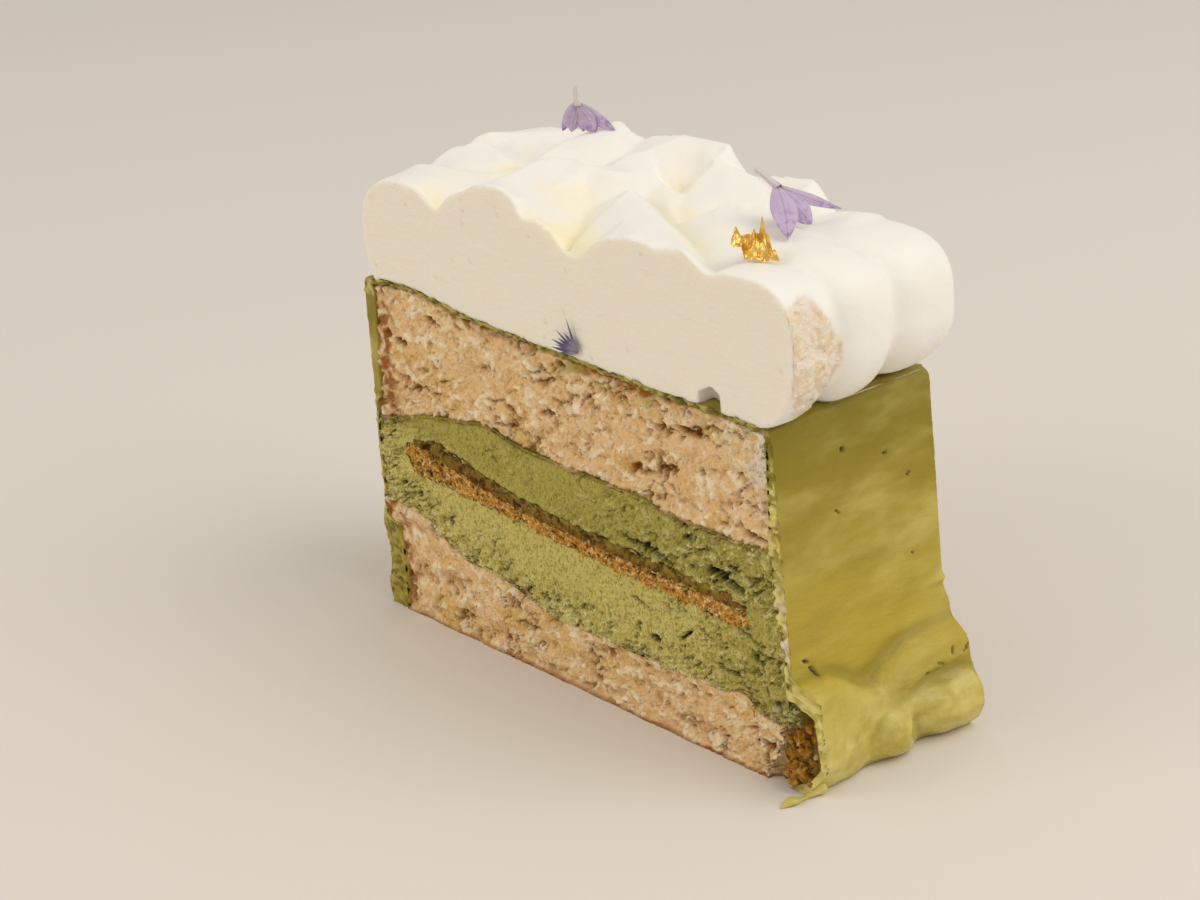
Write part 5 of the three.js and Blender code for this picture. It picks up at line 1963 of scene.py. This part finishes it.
@dataclass
class CakeSlice:
    """The whole slice, built from the bottom up."""

    form: SliceForm
    strewer: Strewer = field(default_factory=Strewer)

    def left_end(self, z: Array, y: Array) -> Array:
        """Where a layer starts, a little inside the coat on the left end."""
        return self.form.left_inside(z) - self.form.overlap

    def right_end(self, z: Array, y: Array) -> Array:
        """Where a layer ends, a little inside the coat on the right end."""
        return self.form.right_backing(z) + self.form.overlap

    def sponges(self) -> None:
        """The two sponges with loose crumbs on their cut faces."""
        form, finish = self.form, NutSponge().build()
        slant = lambda z: 3.0 * ramp(z, 8.0, 0.5) + 0.6 * ramp(z, 11, 7)
        chipped = lambda z: 0.5 * np.sin(2.1 * z) + 0.35 * np.sin(5.3 * z + 1)
        pocket = lambda z, y: (slant(z) + 0.6 + chipped(z)) * ramp(y, -14, form.front + 1.5)
        bottom = Sponge(
            form,
            "sponge_lower",
            lower=lambda x, y: 0.0 * x + 0.0 * y,
            upper=lambda x, y: form.bottom_sponge_top(x, y) + form.overlap,
            start=self.left_end,
            end=lambda z, y: form.right_backing(z) - form.end_gap - pocket(z, y),
            seed=3,
            tears=LOWER_TEARS,
        )
        top = Sponge(
            form,
            "sponge_upper",
            lower=lambda x, y: form.top_sponge_bottom(x, y) - form.overlap,
            upper=lambda x, y: form.cover_top(x, y) - form.cover + 0.9,
            start=self.left_end,
            end=self.right_end,
            seed=7,
            top=True,
            tears=UPPER_TEARS,
        )
        for layer, node, seed in ((bottom, "sponge_bottom", 11), (top, "sponge_top", 12)):
            piece = dress(layer.build(), finish, "nut_sponge", node)
            crumbs = self.strewer.strew(f"{layer.name}_crumbs", piece, finish, 1.5, (0.22, 0.62), seed)
            dress(crumbs, finish, "nut_sponge")

    def filling(self) -> None:
        """The matcha cream, the crunch layer in it and the paste on that."""
        form, gap, inset = self.form, self.form.gap, self.form.overlap
        crunch = (form.strip_left, form.strip_right, form.crunch_bottom, form.crunch_top)
        film = (form.film_left, form.strip_right, form.crunch_top, form.film_top)
        slots = []
        for (start, end, lower, upper), taper in ((crunch, 0.0), (film, 0.75)):
            starts, ends = strip_ends(form, start, end, lower, upper, -inset)
            floor = lambda x, y, lower=lower: lower(x, y) + inset
            roof = lambda x, y, upper=upper: upper(x, y) - inset
            slots.append(DeepSlot(form, "slot", floor, roof, starts, ends, step=1.2, taper=taper))
        cream = MatchaCream(
            form,
            "green_cream",
            lower=lambda x, y: form.bottom_sponge_top(x, y) - inset,
            upper=lambda x, y: form.top_sponge_bottom(x, y) + inset,
            start=self.left_end,
            end=self.right_end,
            slot=slots,
            tears=CREAM_TEARS,
        )
        dress(cream.build(), TornCream().build(), "matcha_cream", "matcha_cream")
        ragged = lambda x, y: 0.3 * np.sin(1.3 * x + 0.4 * y) * np.sin(0.53 * x) + 0.12 * np.sin(3.1 * x + y)
        layer = Strip(
            form,
            "crunch",
            lambda x, y: form.crunch_bottom(x, y) - 0.1 + ragged(x, y),
            lambda x, y: form.crunch_top(x, y) - gap / 2,
            *strip_ends(form, *crunch),
        )
        finish = Crunch().build()
        piece = dress(layer.build(), finish, "crunch", "crunch_layer")
        grains = self.strewer.strew("crunch_grains", piece, finish, 0.85, (0.3, 0.85), 21)
        dress(grains, finish, "crunch")
        paste = Strip(
            form,
            "paste",
            lambda x, y: form.crunch_top(x, y) + gap / 2,
            lambda x, y: form.film_top(x, y) + 0.1 + ragged(x + 9, y),
            *strip_ends(form, *film),
            taper=0.7,
            seed=66,
            grain=1.5,
            rough=0.4,
        )
        dress(paste.build(), PralineFilm().build(), "crunch_film", "crunch_film")

    def outside(self) -> None:
        """The coat with its tail, and the crumbs behind its foot."""
        finish = CoatCream().build()
        coat, tail = Coat(self.form).build()
        dress(coat, finish, "matcha_coat", "matcha_coat")
        dress(tail, finish, "matcha_coat")
        # Its near-black hollow colour paints the shade among the pocket's clumps.
        baked = NutSponge(crumb="a8762a", pale="d8aa5c", amber="8f621c", hollow="3a2106").build()
        dress(Lumps("pocket_crumbs", self.form, POCKET_CRUMBS, 91).build(), baked, "nut_sponge")
        green = TornCream(body="d5c98c").build()
        dress(Lumps("pocket_bits", self.form, POCKET_BITS, 95).build(), green, "matcha_cream")

    def topping(self) -> None:
        """The whipped cream with its petals and gold."""
        form = self.form
        dress(CreamHeap(form).build(), WhippedCream().build(), "whipped_cream", "whipped_cream")
        lilac = Petal("c3b0cc", "e0d3d2", "8a72a8").build("dried cornflower petal")
        back = Floret(
            "floret_back",
            form,
            (-23.6, 10.9, 101.2),
            (-23.4, 10.7, 98.2),
            (
                Lobe((-25.2, 8.4, 93.2), 0.95, 0.4, 0.2, 1.0),
                Lobe((-23.9, 9.4, 93.0), 1.3, 0.1, 0.1, 1.3, -0.3),
                Lobe((-22.2, 10.9, 93.0), 1.0, 0.0, 0.0, 1.2, -0.5),
                Lobe((-20.6, 12.4, 92.9), 1.8, 0.5, -0.1, 1.35),
                Lobe((-18.3, 15.0, 93.0), 1.05, 0.3, 0.5, 1.2, -0.2),
            ),
            0.62,
            (0.75, -0.65, 0.14),
        )
        dress(back.build(), lilac, "lilac_petal", "petal_back")
        right = Floret(
            "floret_right",
            form,
            (30.0, 3.3, 96.9),
            (34.8, 3.1, 95.0),
            (
                Lobe((43.6, -3.4, 89.3), 2.05, 0.9, -0.9, 0.95),
                Lobe((41.4, 4.4, 89.5), 1.9, 0.8, 0.0, 1.45, -0.2),
                Lobe((41.2, 11.6, 90.2), 0.95, 0.9, 0.9, 0.95),
            ),
            0.62,
            (0.5, -0.42, 0.76),
        )
        dress(right.build(), lilac, "lilac_petal", "petal_right")
        violet = Petal("5c5678", "8f8a9c", "2a2432").build("dark cornflower petal")
        dress(Tuft("tuft_front", form).build(), violet, "violet_petal", "petal_front")
        flake = Flake("gold_flake", form, (44.2, -11.4, 88.0))
        dress(flake.build(), GoldLeaf().build(), "gold_leaf", "gold_leaf")


def main() -> None:
    """Builds the slice and its studio."""
    logging.basicConfig(level=logging.INFO, format="%(message)s")
    form = SliceForm.from_frame()
    studio = Studio()
    studio.camera(form)
    studio.lights()
    studio.floor()
    cake = CakeSlice(form)
    cake.sponges()
    cake.filling()
    cake.outside()
    cake.topping()


if __name__ == "__main__":
    main()
